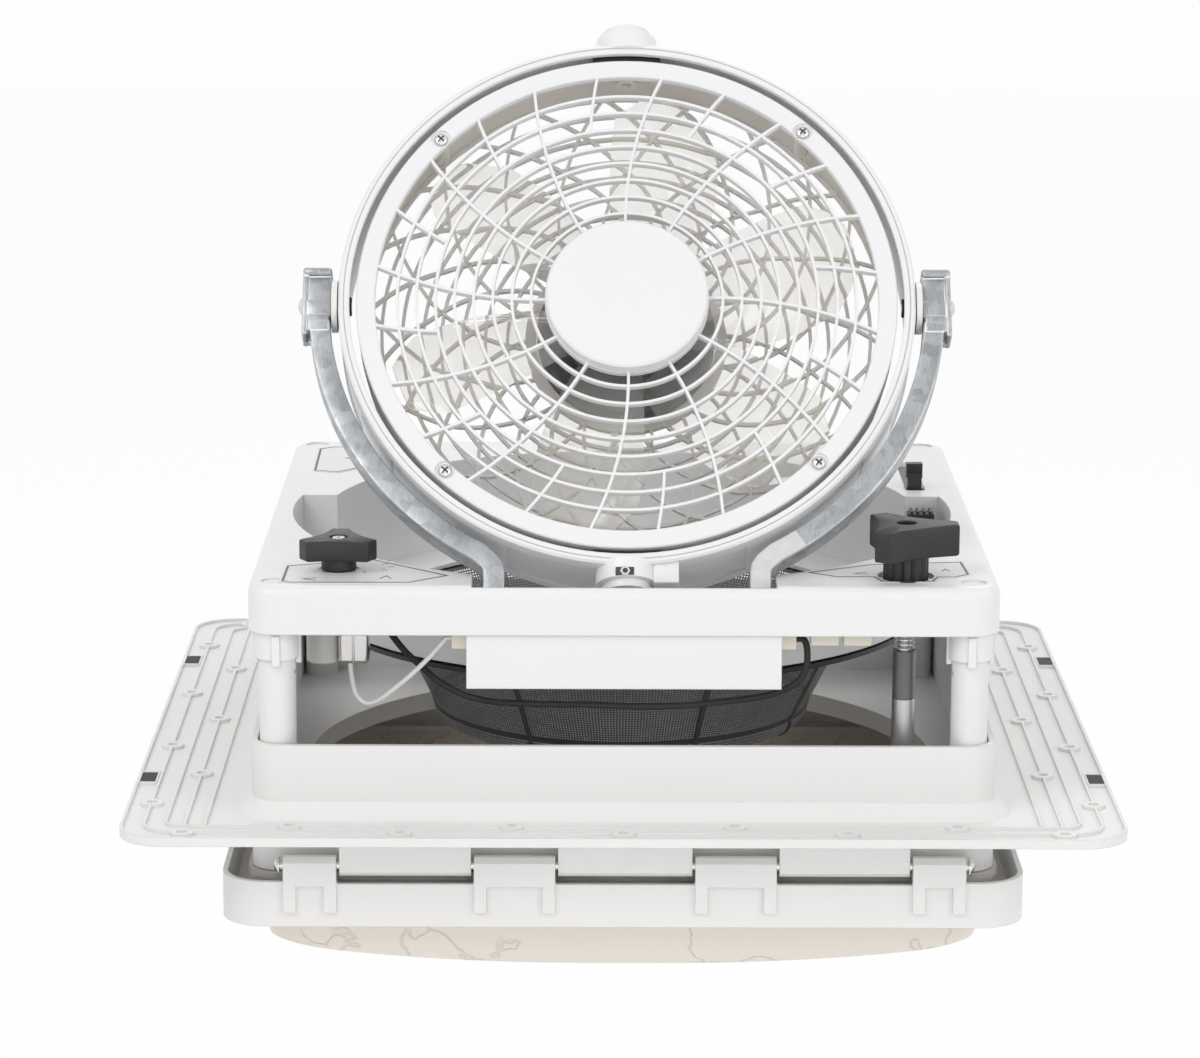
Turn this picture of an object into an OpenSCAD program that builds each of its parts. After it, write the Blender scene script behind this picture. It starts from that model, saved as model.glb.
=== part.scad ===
// Roof vent fan for a camper, shown cabin side up with its lid hanging below.
// The origin is the centre of the face that beds on the roof, the tops of the flange ribs.
// X runs across, the hinged side faces -Y and Z points into the cabin. Millimetres.

/* [Roof flange and collar] */
// Width of the roof flange across X
flange_width = 475; // [420:1:520]
// Depth of the roof flange along Y
flange_depth = 436; // [400:1:520]
// Thickness of the flange plate below its ribs
flange_thickness = 3; // [2:0.5:5]
// Height of the bedding ribs
rib_height = 1.5; // [1:0.5:3]
// Width of one bedding rib
rib_width = 1.4; // [1:0.2:3]
// Outer width of the square collar that goes through the roof
collar_size = 355; // [340:1:356]
// Wall of the collar
collar_wall = 3; // [2:0.5:5]
// Height of the collar above the roof face
collar_height = 33.5; // [20:0.5:60]
// How far the sloped shoulder stands out from the collar
shoulder_reach = 8; // [4:0.5:12]
// Height of the sloped shoulder
shoulder_height = 6; // [3:0.5:10]
// Distance between neighbouring screw holes of the flange
hole_spacing = 105; // [90:1:120]
// Distance of the outer side rows of holes from the flange's edge
outer_row_inset = 11.5; // [8:0.5:14]
// Distance of the inner side rows of holes from the flange's edge
inner_row_inset = 30.5; // [26:0.5:34]
// Distance of the front and back rows of holes from the flange's edge
front_row_inset = 10.4; // [8:0.1:12]
// Distance of the second front and back rows from the flange's edge
second_row_inset = 22; // [20:0.5:24]
// Distance of the black pads from the flange's edge
pad_inset = 5.5; // [5:0.5:7]
// Radius of a flange screw hole
flange_hole_radius = 2.5; // [2:0.25:3]
// Depth of the base floor below the roof face
floor_depth = 18; // [10:0.5:25]
// Thickness of the base floor
floor_thickness = 3; // [2:0.5:5]
// Width of the floor between the collar and the round air opening
floor_ledge = 14.5; // [10:0.5:20]
// Depth of the curb and of the opening's rim below the roof face
curb_depth = 28; // [24:0.5:32]
// Radius of the corner posts
post_radius = 8.8; // [7:0.1:10]
// Distance of the corner posts' axes from the collar's outer faces
post_inset = 13; // [12:0.5:16]
// Distance of the corner posts' tops below the tray's top
post_drop = 27; // [22:0.5:32]

/* [Lid] */
// Distance of the lid hinge axis in front of the collar
lid_hinge_reach = 10.5; // [8:0.5:13]
// Depth of the lid hinge axis below the roof face
lid_hinge_depth = 22.3; // [18:0.1:26]
// Radius of the lid hinge pin
hinge_pin_radius = 2; // [1.5:0.1:3]
// How far the square lid frame stands out past the collar
lid_margin = 14; // [12:0.5:18]
// Wall of the lid frame
lid_wall = 2.5; // [2:0.5:4]
// Depth of the lid frame's rim below the roof face
lid_rim_depth = 29.5; // [29:0.5:33]
// Depth of the lid frame's foot below the roof face
lid_foot_depth = 51.6; // [45:0.2:60]
// Width of the lid frame's ledge, where the dome sits
lid_ledge_width = 24.5; // [18:0.5:30]
// How far the dome laps the ledge
dome_lap = 5.5; // [4:0.5:8]
// Depth of the crown of the dome below the roof face
dome_depth = 90; // [75:1:110]
// Radius of the dome's crown
dome_crown_radius = 1200; // [900:10:2000]
// Radius of the dome's lower edge
dome_edge_radius = 16; // [8:1:24]
// Radius of the dome's corners seen from above
dome_corner = 36; // [30:1:50]
// Wall of the dome
dome_wall = 2.5; // [2:0.5:4]
// Thickness of the lid seal
seal_thickness = 4; // [2:0.5:5]
// Angle by which the lid opens
lid_open_angle = 50; // [20:1:50]
// Way of the lift rod while the lid opens fully
lift_travel = 46; // [40:1:46]

/* [Tray] */
// How far the square tray stands out past the collar
tray_overhang = 0.5; // [0:0.5:4]
// Height of the tray's top above the roof face
tray_top = 111; // [100:0.5:125]
// Height of the tray's outer wall
tray_height = 23.5; // [18:0.5:30]
// Wall of the tray
tray_wall = 2.5; // [2:0.5:4]
// Radius of the tray's corners seen from above
tray_corner_radius = 14; // [10:1:20]
// Radius of the tray's rounded upper edge
tray_edge_radius = 5; // [3:0.5:8]
// Distance between the folded ring and the round opening in the tray
fold_gap = 9.5; // [8:0.5:12]
// Depth of the skirt's foot below the tray's top
skirt_depth = 49.5; // [46:0.5:52]
// Width of the channel that takes the folded yoke
channel_width = 17.5; // [15:0.5:18]
// Where the channel ends, measured from the middle along Y
channel_end = 31; // [28:0.5:34]
// Depth of the channel below the tray's top
channel_depth = 25; // [24:0.5:27]
// Distance between the yoke's legs and the ends of the hinge trough
trough_gap = 3.8; // [2:0.1:5]
// Depth of the hinge trough below the tray's top
trough_depth = 32; // [31:0.5:34]
// Depth of the wiring box's underside below the tray's top
box_depth = 49.7; // [47:0.1:51]
// How far the wiring box's face stands back from the tray's face
box_reveal = 1.5; // [0.5:0.1:2]
// Wall of the wiring box
box_wall = 2; // [1.5:0.1:2]
// Radius of the shallow dishes in the tray's corners
dish_radius = 6; // [4:0.5:8]

/* [Screen] */
// Width of the ledge that carries the screen bowl
screen_ledge = 28.5; // [26:0.5:31]
// How much narrower the screen bowl's flat bottom is than its top
screen_taper = 33.5; // [25:0.5:45]
// Height of the screen bowl's bottom above the roof face
screen_bottom = 3; // [0:0.5:10]
// Thickness of the screen
screen_thickness = 0.8; // [0.6:0.1:1.5]

/* [Yoke] */
// Distance of the yoke's hinge axis behind the tray's front
yoke_hinge_inset = 13; // [12:0.5:15]
// Depth of the yoke's hinge axis below the tray's top
yoke_hinge_drop = 15; // [13:0.5:17]
// Angle by which the yoke leans back as photographed
yoke_lean = 35.4; // [0:0.1:60]
// How far the folded ring's middle lies in front of the tray's middle
stow_shift = 4.7; // [4:0.1:6]
// Side play that the yoke has taken up to the right
side_play = 1.4; // [0:0.1:2]
// Distance between the ring and the yoke arms
arm_gap = 4.1; // [3:0.1:5]
// Width of a yoke arm seen from the front
arm_width = 10.4; // [8:0.1:12]
// Depth of a yoke arm from front to back
arm_depth = 15; // [12:0.5:16]
// Inner distance of a yoke leg from the middle
leg_inner = 58.2; // [56:0.1:60]
// Width of a yoke leg
leg_width = 10; // [8:0.1:11]
// Length of a pivot block along the yoke
block_length = 36; // [30:0.5:37]
// Width of a pivot block across X
block_width = 14.2; // [12:0.1:15]
// Radius of the pale washers at the tilt pivots
washer_radius = 12.8; // [9:0.1:13]
// Radius of the yoke's hinge shaft
yoke_shaft_radius = 4; // [3:0.1:5]

/* [Gimbal ring] */
// Distance between the lower swivel boss and the yoke's hinge axis
boss_gap = 8.8; // [7:0.1:10]
// Depth of the rubber bushes at the swivel pivots
bush_depth = 15.6; // [12:0.1:16]
// How far the swivel bosses stand out from the ring
boss_rise = 11; // [9:0.5:13]
// Width of the ring's front lip
ring_lip_width = 5.5; // [4.5:0.1:6]
// Wall of the ring
ring_wall = 3.2; // [2.5:0.1:3.6]
// Front of the ring measured from the pivot plane
ring_front = 12.1; // [10:0.1:13]
// Back of the ring measured from the pivot plane
ring_back = 30; // [25:0.5:30]
// Radius of the swivel bosses
boss_radius = 15; // [12:0.5:15]
// Radius of the shanks of the pivot screws
pivot_radius = 2.5; // [2:0.1:3]

/* [Fan head] */
// Distance between the ring's lip and the face band
head_gap = 3.2; // [2.5:0.1:4]
// Width of the face band
band_width = 9.3; // [8:0.1:11]
// Front of the face band measured from the pivot plane
face_front = 10.6; // [9:0.1:11]
// Thickness of the face band
band_thickness = 4; // [3:0.5:5]
// Radius of the innermost ring of the grille
first_ring_radius = 46; // [43:0.5:48]
// Number of rings of the grille
grille_ring_count = 8; // [6:1:9]
// Distance between the outermost ring of the grille and the face band
grille_outer_gap = 11.4; // [8:0.1:13]
// Width of a grille bar
bar_width = 1.4; // [1.2:0.1:2]
// Depth of a grille bar
bar_depth = 3.5; // [3:0.1:4]
// Number of long grille spokes
spoke_count = 12; // [8:1:16]
// Radius of the hub cap
cap_radius = 39.5; // [36:0.5:41]
// How far the hub cap stands in front of the face
cap_rise = 6.2; // [3:0.1:8]
// Distance of the four grille screws from the face band's inner edge
grille_screw_inset = 4; // [3:0.5:5]
// Turn of the four grille screws from the horizontal
grille_screw_turn = 46.5; // [44:0.5:48]
// Back of the fan housing measured from the pivot plane
housing_back = 22; // [20:0.5:24]
// Back of the rear grille measured from the pivot plane
basket_back = 41; // [38:0.5:42]
// How much narrower the rear grille's flat back is than the face band
basket_inset = 30.8; // [26:0.2:36]
// Radius of the motor can
motor_radius = 44; // [40:0.5:45]
// Back of the motor can measured from the pivot plane
motor_back = 50; // [46:0.5:52]
// Front of the motor can behind the pivot plane
motor_front = 28; // [26:0.5:30]
// Radius of the motor shaft
motor_shaft_radius = 3; // [2:0.1:4]
// Number of fan blades
blade_count = 6; // [4:1:8]
// Distance of the blade tips inside the face band's outer edge
blade_tip_inset = 13.8; // [12:0.2:24]
// Pitch angle of the blades
blade_pitch = 22; // [14:1:24]
// Radius of the blade hub
hub_radius = 31; // [26:0.5:34]

/* [Knobs and levers] */
// Distance of the speed knob's axis from the tray's left side
speed_knob_side_inset = 41.7; // [40:0.1:44]
// Distance of the speed knob's axis from the tray's front
speed_knob_front_inset = 37; // [34:0.5:38]
// Reach of the speed knob's three lobes
speed_knob_reach = 21; // [18:0.5:22]
// Height of the speed knob's head
speed_knob_head = 11; // [8:0.5:14]
// Distance of the lift knob's axis from the tray's right side
lift_knob_side_inset = 44; // [40:0.5:46]
// Distance of the lift knob's axis from the tray's front
lift_knob_front_inset = 25; // [24:0.5:28]
// Reach of the lift knob's three lobes
lift_knob_reach = 26.2; // [22:0.2:27]
// Height of the lift knob's head
lift_knob_head = 16.5; // [12:0.5:18]
// Radius of the lift tube
lift_tube_radius = 5.5; // [5:0.1:6]
// Radius of the lift rod
lift_rod_radius = 3.5; // [3:0.1:4]
// Radius of the cross pin of the lift rod
lift_pin_radius = 2.5; // [2:0.1:3]
// Width of the slot for the mode lever
lever_slot_width = 10; // [8:0.5:11]
// Distance of the lever slot from the tray's right side
lever_slot_inset = 29.5; // [29:0.5:32]

/* [Fits] */
// Radial clearance of every running fit
running_gap = 0.06; // [0.02:0.01:0.1]
// Clearance between pieces that only lie beside each other
loose_gap = 0.4; // [0.3:0.1:0.8]
// Radial clearance of the cam slot around the lift pin
cam_gap = 0.6; // [0.4:0.1:1]

/* [Hidden] */
$fn = 96;
eps = 0.02;
flange_half_x = flange_width / 2;
flange_half_y = flange_depth / 2;
outer_row = flange_half_x - outer_row_inset;
inner_row = flange_half_x - inner_row_inset;
front_row = flange_half_y - front_row_inset;
second_row = flange_half_y - second_row_inset;
collar_half = collar_size / 2;
collar_corner = 14;
collar_inside = collar_size - 2 * collar_wall;
floor_hole_radius = collar_half - collar_wall - floor_ledge;
post_offset = collar_half - post_inset;
post_height = tray_top - post_drop;
lid_hinge_y = collar_half + lid_hinge_reach;
lid_size = collar_size + 2 * lid_margin;
lid_ledge_size = lid_size - 2 * lid_ledge_width;
dome_size = lid_ledge_size + 2 * dome_lap;
tray_size = collar_size + 2 * tray_overhang;
plate_top = -rib_height;
plate_bottom = -rib_height - flange_thickness;
floor_top = -floor_depth;
floor_bottom = -floor_depth - floor_thickness;
tray_half = tray_size / 2;
tray_foot = tray_top - tray_height;
plate_under = tray_top - tray_wall;
yoke_hinge_y = tray_half - yoke_hinge_inset;
yoke_hinge_z = tray_top - yoke_hinge_drop;
yoke_length = yoke_hinge_y - stow_shift;
boss_reach = yoke_length - boss_gap;
ring_outer_radius = boss_reach - boss_rise;
ring_lip_radius = ring_outer_radius - ring_lip_width;
opening_radius = ring_outer_radius + fold_gap;
skirt_foot = tray_top - skirt_depth;
skirt_outer = opening_radius + tray_wall;
ledge_thickness = 2;
screen_top_radius = opening_radius - screen_ledge;
screen_bottom_radius = screen_top_radius - screen_taper;
channel_radius = opening_radius + channel_width;
channel_floor = tray_top - channel_depth;
channel_under = channel_floor - tray_wall;
trough_floor = tray_top - trough_depth;
trough_half_width = leg_inner + leg_width + trough_gap;
box_foot = tray_top - box_depth;
box_front = -tray_half + box_reveal;
trough_front = box_front + box_wall + 0.1;
speed_knob_x = -tray_half + speed_knob_side_inset;
speed_knob_y = -tray_half + speed_knob_front_inset;
lift_knob_x = tray_half - lift_knob_side_inset;
lift_knob_y = -tray_half + lift_knob_front_inset;
lever_slot_x = tray_half - lever_slot_inset;
latch_x = lever_slot_x - 0.9;
latch_y = channel_end - 16.1;
trough_outer = trough_half_width + tray_wall;
trough_under = trough_floor - tray_wall;
arm_inner_radius = ring_outer_radius + arm_gap;
arm_mid = arm_inner_radius + arm_width / 2;
leg_mid = leg_inner + leg_width / 2;
leg_angle = asin(leg_mid / arm_mid);
block_inner = ring_outer_radius + 3.3;
block_outer = block_inner + block_width;
ring_inner = ring_outer_radius - ring_wall;
pivot_bore_start = ring_lip_radius - 35;
pivot_bore_end = block_outer + 12;
band_outer_radius = ring_lip_radius - head_gap;
band_inner_radius = band_outer_radius - band_width;
ring_step = (band_inner_radius - grille_outer_gap - first_ring_radius) / (grille_ring_count - 1);
grille_screw_circle = band_inner_radius + grille_screw_inset;
basket_radius = band_outer_radius - basket_inset;
blade_tip_radius = band_outer_radius - blade_tip_inset;
face_back = face_front - band_thickness;
housing_front = face_back - 0.2;
housing_outer = band_outer_radius - 0.3;
hinge_z = -lid_hinge_depth;
lid_half = lid_size / 2;
knuckle_spans = [[-161.2, -136], [-70.8, -32.3], [34.1, 72.6], [137.2, 162.4]];
block_spans = [[-134.6, -72.2], [-30.9, 32.7], [74, 135.8]];
pin_ends = [knuckle_spans[0][0] - 1.8, knuckle_spans[3][1] + 1.4];
pin_start = hinge_z - 10.7;
lever_y = 56;
sleeve_foot = tray_top - 59.4;

module rounded(w, d, r) {
    square([w - 2 * r, d], center = true);
    square([w, d - 2 * r], center = true);
    for (sx = [-1, 1], sy = [-1, 1])
        translate([sx * (w / 2 - r), sy * (d / 2 - r)])
            circle(r);
}

module frame_2d(w, d, r, wall) {
    difference() {
        rounded(w, d, r);
        rounded(w - 2 * wall, d - 2 * wall, max(r - wall, 0.5));
    }
}

module rod_x(x0, x1, r) {
    translate([x0, 0, 0])
        rotate([0, 90, 0])
            cylinder(r = r, h = x1 - x0);
}

module at_yoke_hinge() {
    translate([side_play, -yoke_hinge_y, yoke_hinge_z])
        rotate([-yoke_lean, 0, 0])
            children();
}

// The middle of the ring, with Y up along the yoke and Z out of the fan's face
module at_head() {
    at_yoke_hinge()
        translate([0, 0, yoke_length])
            rotate([90, 0, 0])
                children();
}

module at_speed_knob() {
    translate([speed_knob_x, speed_knob_y, tray_top])
        children();
}

module at_lift_knob() {
    translate([lift_knob_x, lift_knob_y, tray_top])
        children();
}

module at_lid_hinge() {
    translate([0, -lid_hinge_y, hinge_z])
        children();
}

module flange_sites() {
    for (s = [-1, 1]) {
        for (y = [-front_row, -hole_spacing, 0, hole_spacing, front_row])
            translate([s * inner_row, y])
                children();
        for (k = [-1.5, -0.5, 0.5, 1.5])
            translate([s * outer_row, k * hole_spacing])
                children();
        for (k = [-1:1])
            translate([k * hole_spacing, s * front_row])
                children();
        for (k = [-1.5, -0.5, 0.5, 1.5])
            translate([k * hole_spacing, s * second_row])
                children();
    }
}

module pad_sites() {
    x = flange_half_x - pad_inset;
    for (place = [[-x, 122], [-x, -113], [x, 124], [x, -113]])
        translate(place)
            children();
}

// The sloped shoulder where the collar meets the flange
module shoulder() {
    run = collar_size - 2 * collar_corner;
    rise = shoulder_height + rib_height;
    for (q = [0:3])
        rotate([0, 0, 90 * q]) {
            translate([-run / 2, -collar_half, plate_top - eps])
                rotate([90, 0, 90])
                    linear_extrude(run)
                        polygon([[1, 0], [-shoulder_reach, 0], [0, rise], [1, rise]]);
            translate([run / 2, run / 2, plate_top - eps])
                cylinder(r1 = collar_corner + shoulder_reach, r2 = collar_corner, h = rise);
        }
}

module flange_ribs() {
    translate([0, 0, plate_top - eps])
        linear_extrude(rib_height + eps)
            difference() {
                union() {
                    for (inset = [0, 10.5, 20.5])
                        frame_2d(flange_width - 2 * inset, flange_depth - 2 * inset, 22 - inset * 0.6, rib_width);
                    for (inset = [30.5, 40], s = [-1, 1])
                        translate([s * (flange_half_x - inset), 0])
                            square([rib_width, 2 * second_row], center = true);
                    flange_sites()
                        circle(5.5);
                    pad_sites()
                        square([9.5, 19], center = true);
                }
                flange_sites()
                    circle(flange_hole_radius);
                pad_sites()
                    square([7.6, 17.2], center = true);
                square([collar_size - 2, collar_size - 2], center = true);
            }
}

module hinge_block(span) {
    front = -lid_hinge_y - 3;
    back = -collar_half + 1;
    translate([span[0], 0, 0])
        rotate([90, 0, 90])
            linear_extrude(span[1] - span[0])
                polygon([[front, plate_bottom + 1], [front, -25], [front + 2, -27],
                    [back, -27], [back, plate_bottom + 1]]);
}

module roof_flange_base() {
    color([0.95, 0.95, 0.94])
    difference() {
        union() {
            translate([0, 0, plate_bottom])
                linear_extrude(flange_thickness)
                    rounded(flange_width, flange_depth, 22);
            flange_ribs();
            shoulder();
            translate([0, 0, -curb_depth])
                linear_extrude(curb_depth + collar_height)
                    rounded(collar_size, collar_size, collar_corner);
            for (span = block_spans)
                hinge_block(span);
        }
        // the space inside the collar, above and below the floor
        translate([0, 0, floor_top])
            linear_extrude(200)
                rounded(collar_inside, collar_inside, collar_corner - collar_wall);
        translate([0, 0, -100])
            linear_extrude(100 + floor_bottom)
                difference() {
                    rounded(collar_inside, collar_inside, collar_corner - collar_wall);
                    circle(floor_hole_radius + collar_wall);
                }
        translate([0, 0, -100])
            cylinder(r = floor_hole_radius, h = 120);
        translate([0, 0, plate_bottom - 1])
            linear_extrude(flange_thickness + 2)
                flange_sites()
                    circle(flange_hole_radius);
        at_lid_hinge()
            rod_x(-flange_half_x, flange_half_x, hinge_pin_radius + running_gap);
        translate([lift_knob_x, lift_knob_y, -60])
            cylinder(r = lift_rod_radius + running_gap, h = 60);
    }
    color([0.95, 0.95, 0.94])
    for (sx = [-1, 1], sy = [-1, 1])
        translate([sx * post_offset, sy * post_offset, floor_top - eps])
            difference() {
                cylinder(r = post_radius, h = post_height - floor_top);
                translate([0, 0, post_height - floor_top - 30])
                    cylinder(r = 1.6, h = 40);
                translate([-sx * post_radius, 0, post_height - floor_top - 17])
                    cube([5, 6, 1.6], center = true);
            }
}

module flange_pads() {
    color([0.12, 0.12, 0.12])
    translate([0, 0, plate_top])
        linear_extrude(rib_height - 0.2)
            pad_sites()
                square([7.2, 16.8], center = true);
}

module lift_guide() {
    color([0.62, 0.63, 0.64])
    translate([lift_knob_x, lift_knob_y, floor_top])
        difference() {
            union() {
                cylinder(r = 13, h = 4);
                cylinder(r = 8.5, h = 16);
            }
            translate([0, 0, 3])
                cylinder(r = lift_tube_radius + running_gap, h = 50);
            translate([0, 0, -1])
                cylinder(r = lift_rod_radius + running_gap, h = 10);
        }
}

module hinge_pin() {
    color([0.75, 0.75, 0.74])
    at_lid_hinge() {
        rod_x(pin_ends[0] - 0.4, pin_ends[1] + 0.4, hinge_pin_radius);
        for (e = [[pin_ends[0], -1], [pin_ends[1], 1]])
            translate([e[0], 0, 0])
                rotate([0, e[1] * 90, 0])
                    intersection() {
                        cylinder(r = 4.2, h = 3);
                        translate([0, 0, -2.4])
                            sphere(5.2);
                    }
    }
}

module knuckle(span) {
    w = span[1] - span[0];
    front = lid_half - lid_hinge_y + 2;
    leg = 6;
    translate([span[0], 0, 0])
        rotate([90, 0, 90])
            linear_extrude(w) {
                circle(5);
                polygon([[-front, 2.6], [-2.6, 5], [0, 5], [5, 0], [5, -3], [1, -9], [-1, -9], [-front, -9]]);
            }
    for (x = [span[0], span[1] - leg])
        translate([x, -front, -22])
            cube([leg, 2.4, 20]);
}

module lid_frame() {
    front = lid_half - lid_hinge_y;
    color([0.94, 0.94, 0.92])
    difference() {
        union() {
            translate([0, 0, -lid_foot_depth])
                linear_extrude(lid_foot_depth - lid_rim_depth)
                    frame_2d(lid_size, lid_size, 22, lid_wall);
            translate([0, 0, -lid_foot_depth])
                linear_extrude(lid_wall)
                    frame_2d(lid_size, lid_size, 22, (lid_size - lid_ledge_size) / 2);
            // the shelf that carries the seal up to the curb
            translate([0, 0, -lid_foot_depth + lid_wall - eps])
                linear_extrude(lid_foot_depth - lid_wall - curb_depth - 0.5 - seal_thickness + eps)
                    frame_2d(collar_size + 2, collar_size + 2, collar_corner + 1, 3);
            for (span = knuckle_spans)
                at_lid_hinge()
                    knuckle(span);
        }
        at_lid_hinge()
            rod_x(-lid_half, lid_half, hinge_pin_radius + running_gap);
        // the rim steps down behind the base's hinge blocks
        for (span = block_spans)
            translate([span[0] - 1, -lid_half - 5, -lid_rim_depth - 1])
                cube([span[1] - span[0] + 2, 9, 20]);
    }
}

// A box whose lower edges are rounded, cut by the crown's large sphere
module dome_solid(w, r, corner, top, crown) {
    run = w - 2 * corner;
    foot = crown + 10;
    intersection() {
        union() {
            translate([0, 0, foot + r])
                linear_extrude(top - foot - r)
                    rounded(w, w, corner);
            translate([0, 0, crown - 4])
                linear_extrude(top - crown + 4)
                    rounded(w - 2 * r, w - 2 * r, corner - r);
            for (q = [0:3])
                rotate([0, 0, 90 * q]) {
                    translate([-run / 2, w / 2 - r, foot + r])
                        rotate([0, 90, 0])
                            cylinder(r = r, h = run);
                    translate([run / 2, run / 2, foot + r])
                        rotate([0, 0, -5])
                            rotate_extrude(angle = 100)
                                translate([corner - r, 0])
                                    circle(r);
                }
        }
        translate([0, 0, crown + dome_crown_radius])
            sphere(dome_crown_radius, $fn = 400);
    }
}

module lid_dome() {
    color([0.90, 0.87, 0.78])
    difference() {
        dome_solid(dome_size, dome_edge_radius, dome_corner, -lid_foot_depth, -dome_depth);
        dome_solid(
            dome_size - 2 * dome_wall, dome_edge_radius - dome_wall, dome_corner - dome_wall,
            -lid_foot_depth + 1, -dome_depth + dome_wall);
        translate([-lid_half, -lid_half, -lid_foot_depth])
            cube([lid_size, lid_size, 30]);
    }
}

module lid_seal() {
    color([0.10, 0.10, 0.10])
    translate([0, 0, -curb_depth - 0.5 - seal_thickness])
        linear_extrude(seal_thickness)
            frame_2d(collar_size + 4, collar_size + 4, collar_corner + 2, 8);
}

// Where the lift pin stands in the lid's own frame when the lid is open by angle t
function pin_drop(t) = lift_travel * t / lid_open_angle;
function cam_point(t) = [
    (lid_hinge_y + lift_knob_y) * cos(t) - (pin_start - hinge_z - pin_drop(t)) * sin(t),
    (lid_hinge_y + lift_knob_y) * sin(t) + (pin_start - hinge_z - pin_drop(t)) * cos(t)
];

module lid_bracket() {
    cheek = 2.5;
    gap = lift_rod_radius + 2;
    hinge_foot = -lid_foot_depth + lid_wall - hinge_z;
    foot = hinge_foot + 2.4;
    color([0.70, 0.71, 0.72])
    at_lid_hinge()
        translate([lift_knob_x, 0, 0])
            difference() {
                union() {
                    for (s = [0, 1])
                        mirror([s, 0, 0])
                            translate([gap, 0, 0])
                                rotate([90, 0, 90])
                                    linear_extrude(cheek)
                                        polygon([[24.5, -4], [74, -4], [78, -9],
                                            [76, -18], [50, foot], [24.5, foot]]);
                    // the foot lies on the lid frame's ledge
                    translate([-gap - cheek, 13, hinge_foot])
                        cube([2 * (gap + cheek), 24, 2.6]);
                }
                for (t = [-2:4:lid_open_angle + 2])
                    translate([0, cam_point(t)[0], cam_point(t)[1]])
                        rod_x(-20, 20, lift_pin_radius + cam_gap);
            }
}

module lift_rod() {
    color([0.72, 0.72, 0.70])
    translate([lift_knob_x, lift_knob_y, 0])
        difference() {
            translate([0, 0, pin_start - 4.5])
                cylinder(r = lift_rod_radius, h = 45 - pin_start + 4.5);
            translate([0, 0, pin_start])
                rod_x(-10, 10, lift_pin_radius - 0.5);
        }
}

module lift_pin() {
    color([0.55, 0.55, 0.55])
    translate([lift_knob_x, lift_knob_y, pin_start]) {
        for (s = [0, 1])
            mirror([s, 0, 0])
                rod_x(lift_rod_radius + 0.3, 9.5, lift_pin_radius);
        rod_x(-lift_rod_radius - 0.4, lift_rod_radius + 0.4, lift_pin_radius - 0.5 - running_gap);
    }
}

module lift_tube() {
    color([0.60, 0.61, 0.62])
    translate([lift_knob_x, lift_knob_y, 0])
        difference() {
            translate([0, 0, floor_top + 3.4])
                cylinder(r = lift_tube_radius, h = sleeve_foot - 0.1 - floor_top - 3.4);
            translate([0, 0, -50])
                cylinder(r = lift_rod_radius + running_gap, h = 97);
        }
}

module lift_sleeve() {
    color([0.22, 0.22, 0.22])
    translate([lift_knob_x, lift_knob_y, sleeve_foot])
        difference() {
            cylinder(r = lift_tube_radius - 0.1, h = 23.6);
            translate([0, 0, 20])
                cylinder(r = 3.6, h = 10);
        }
}

module lift_screw() {
    color([0.45, 0.45, 0.45])
    translate([lift_knob_x, lift_knob_y, 0]) {
        translate([0, 0, sleeve_foot + 20.2])
            cylinder(r = 3.5, h = tray_top + 12 - sleeve_foot - 20.2);
        for (z = [sleeve_foot + 24.9:2.2:plate_under - 14])
            translate([0, 0, z])
                cylinder(r1 = 4.9, r2 = 3.4, h = 1.5);
    }
}

// Three rounded lobes with hollow flanks, the first one at the given angle
module lobes(reach, waist, tip, first) {
    rotate([0, 0, first])
        difference() {
            union() {
                circle(reach * 0.62);
                for (k = [0:2])
                    rotate([0, 0, 120 * k])
                        translate([0, -tip])
                            square([reach, 2 * tip]);
                for (k = [0:2])
                    rotate([0, 0, 120 * k])
                        translate([reach * 0.38, -tip - 2.2])
                            square([reach * 0.5, 2 * tip + 4.4]);
            }
            for (k = [0:2])
                rotate([0, 0, 60 + 120 * k])
                    translate([reach * 1.22, 0])
                        circle(reach * 1.22 - waist);
        }
}

module speed_knob() {
    color([0.08, 0.08, 0.08])
    at_speed_knob()
        difference() {
            union() {
                translate([0, 0, 0.5])
                    cylinder(r = 8.4, h = 5);
                translate([0, 0, 5])
                    linear_extrude(speed_knob_head - 1)
                        lobes(speed_knob_reach, 9.4, 3.6, 90);
                translate([0, 0, 4 + speed_knob_head - eps])
                    linear_extrude(1)
                        lobes(speed_knob_reach - 0.8, 8.8, 3, 90);
            }
            translate([0, 0, 5 + speed_knob_head - 2])
                cylinder(r = 4.25, h = 5);
            translate([0, 0, -1])
                cylinder(r = 3 + running_gap, h = 9);
            cylinder(r = 1.5, h = 20);
        }
}

module speed_knob_screw() {
    color([0.80, 0.80, 0.80])
    at_speed_knob()
        translate([0, 0, 3 + speed_knob_head])
            difference() {
                union() {
                    translate([0, 0, 0.1])
                        cylinder(r1 = 3.8, r2 = 3, h = 1.6);
                    translate([0, 0, -13])
                        cylinder(r = 1.4, h = 14);
                }
                translate([0, 0, 1.6])
                    cube([4, 0.9, 1.2], center = true);
                translate([0, 0, 1.6])
                    cube([0.9, 4, 1.2], center = true);
            }
}

module speed_switch_body() {
    color([0.66, 0.67, 0.68])
    at_speed_knob()
        difference() {
            union() {
                translate([0, 0, -tray_wall - 14])
                    cylinder(r = 10, h = 13.6);
                translate([-8, 0, -45])
                    cylinder(r = 7.8, h = 31.5);
                translate([7, 0, -45])
                    cylinder(r = 7.8, h = 31.5);
                translate([-8, -7.8, -45])
                    cube([15, 15.6, 31.5]);
            }
            translate([-0.5, 0, -40])
                difference() {
                    cube([60, 60, 1.2], center = true);
                    cube([29.4, 14.4, 2], center = true);
                }
            translate([0, 0, -24])
                cylinder(r = 3 + running_gap, h = 30);
        }
}

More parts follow.
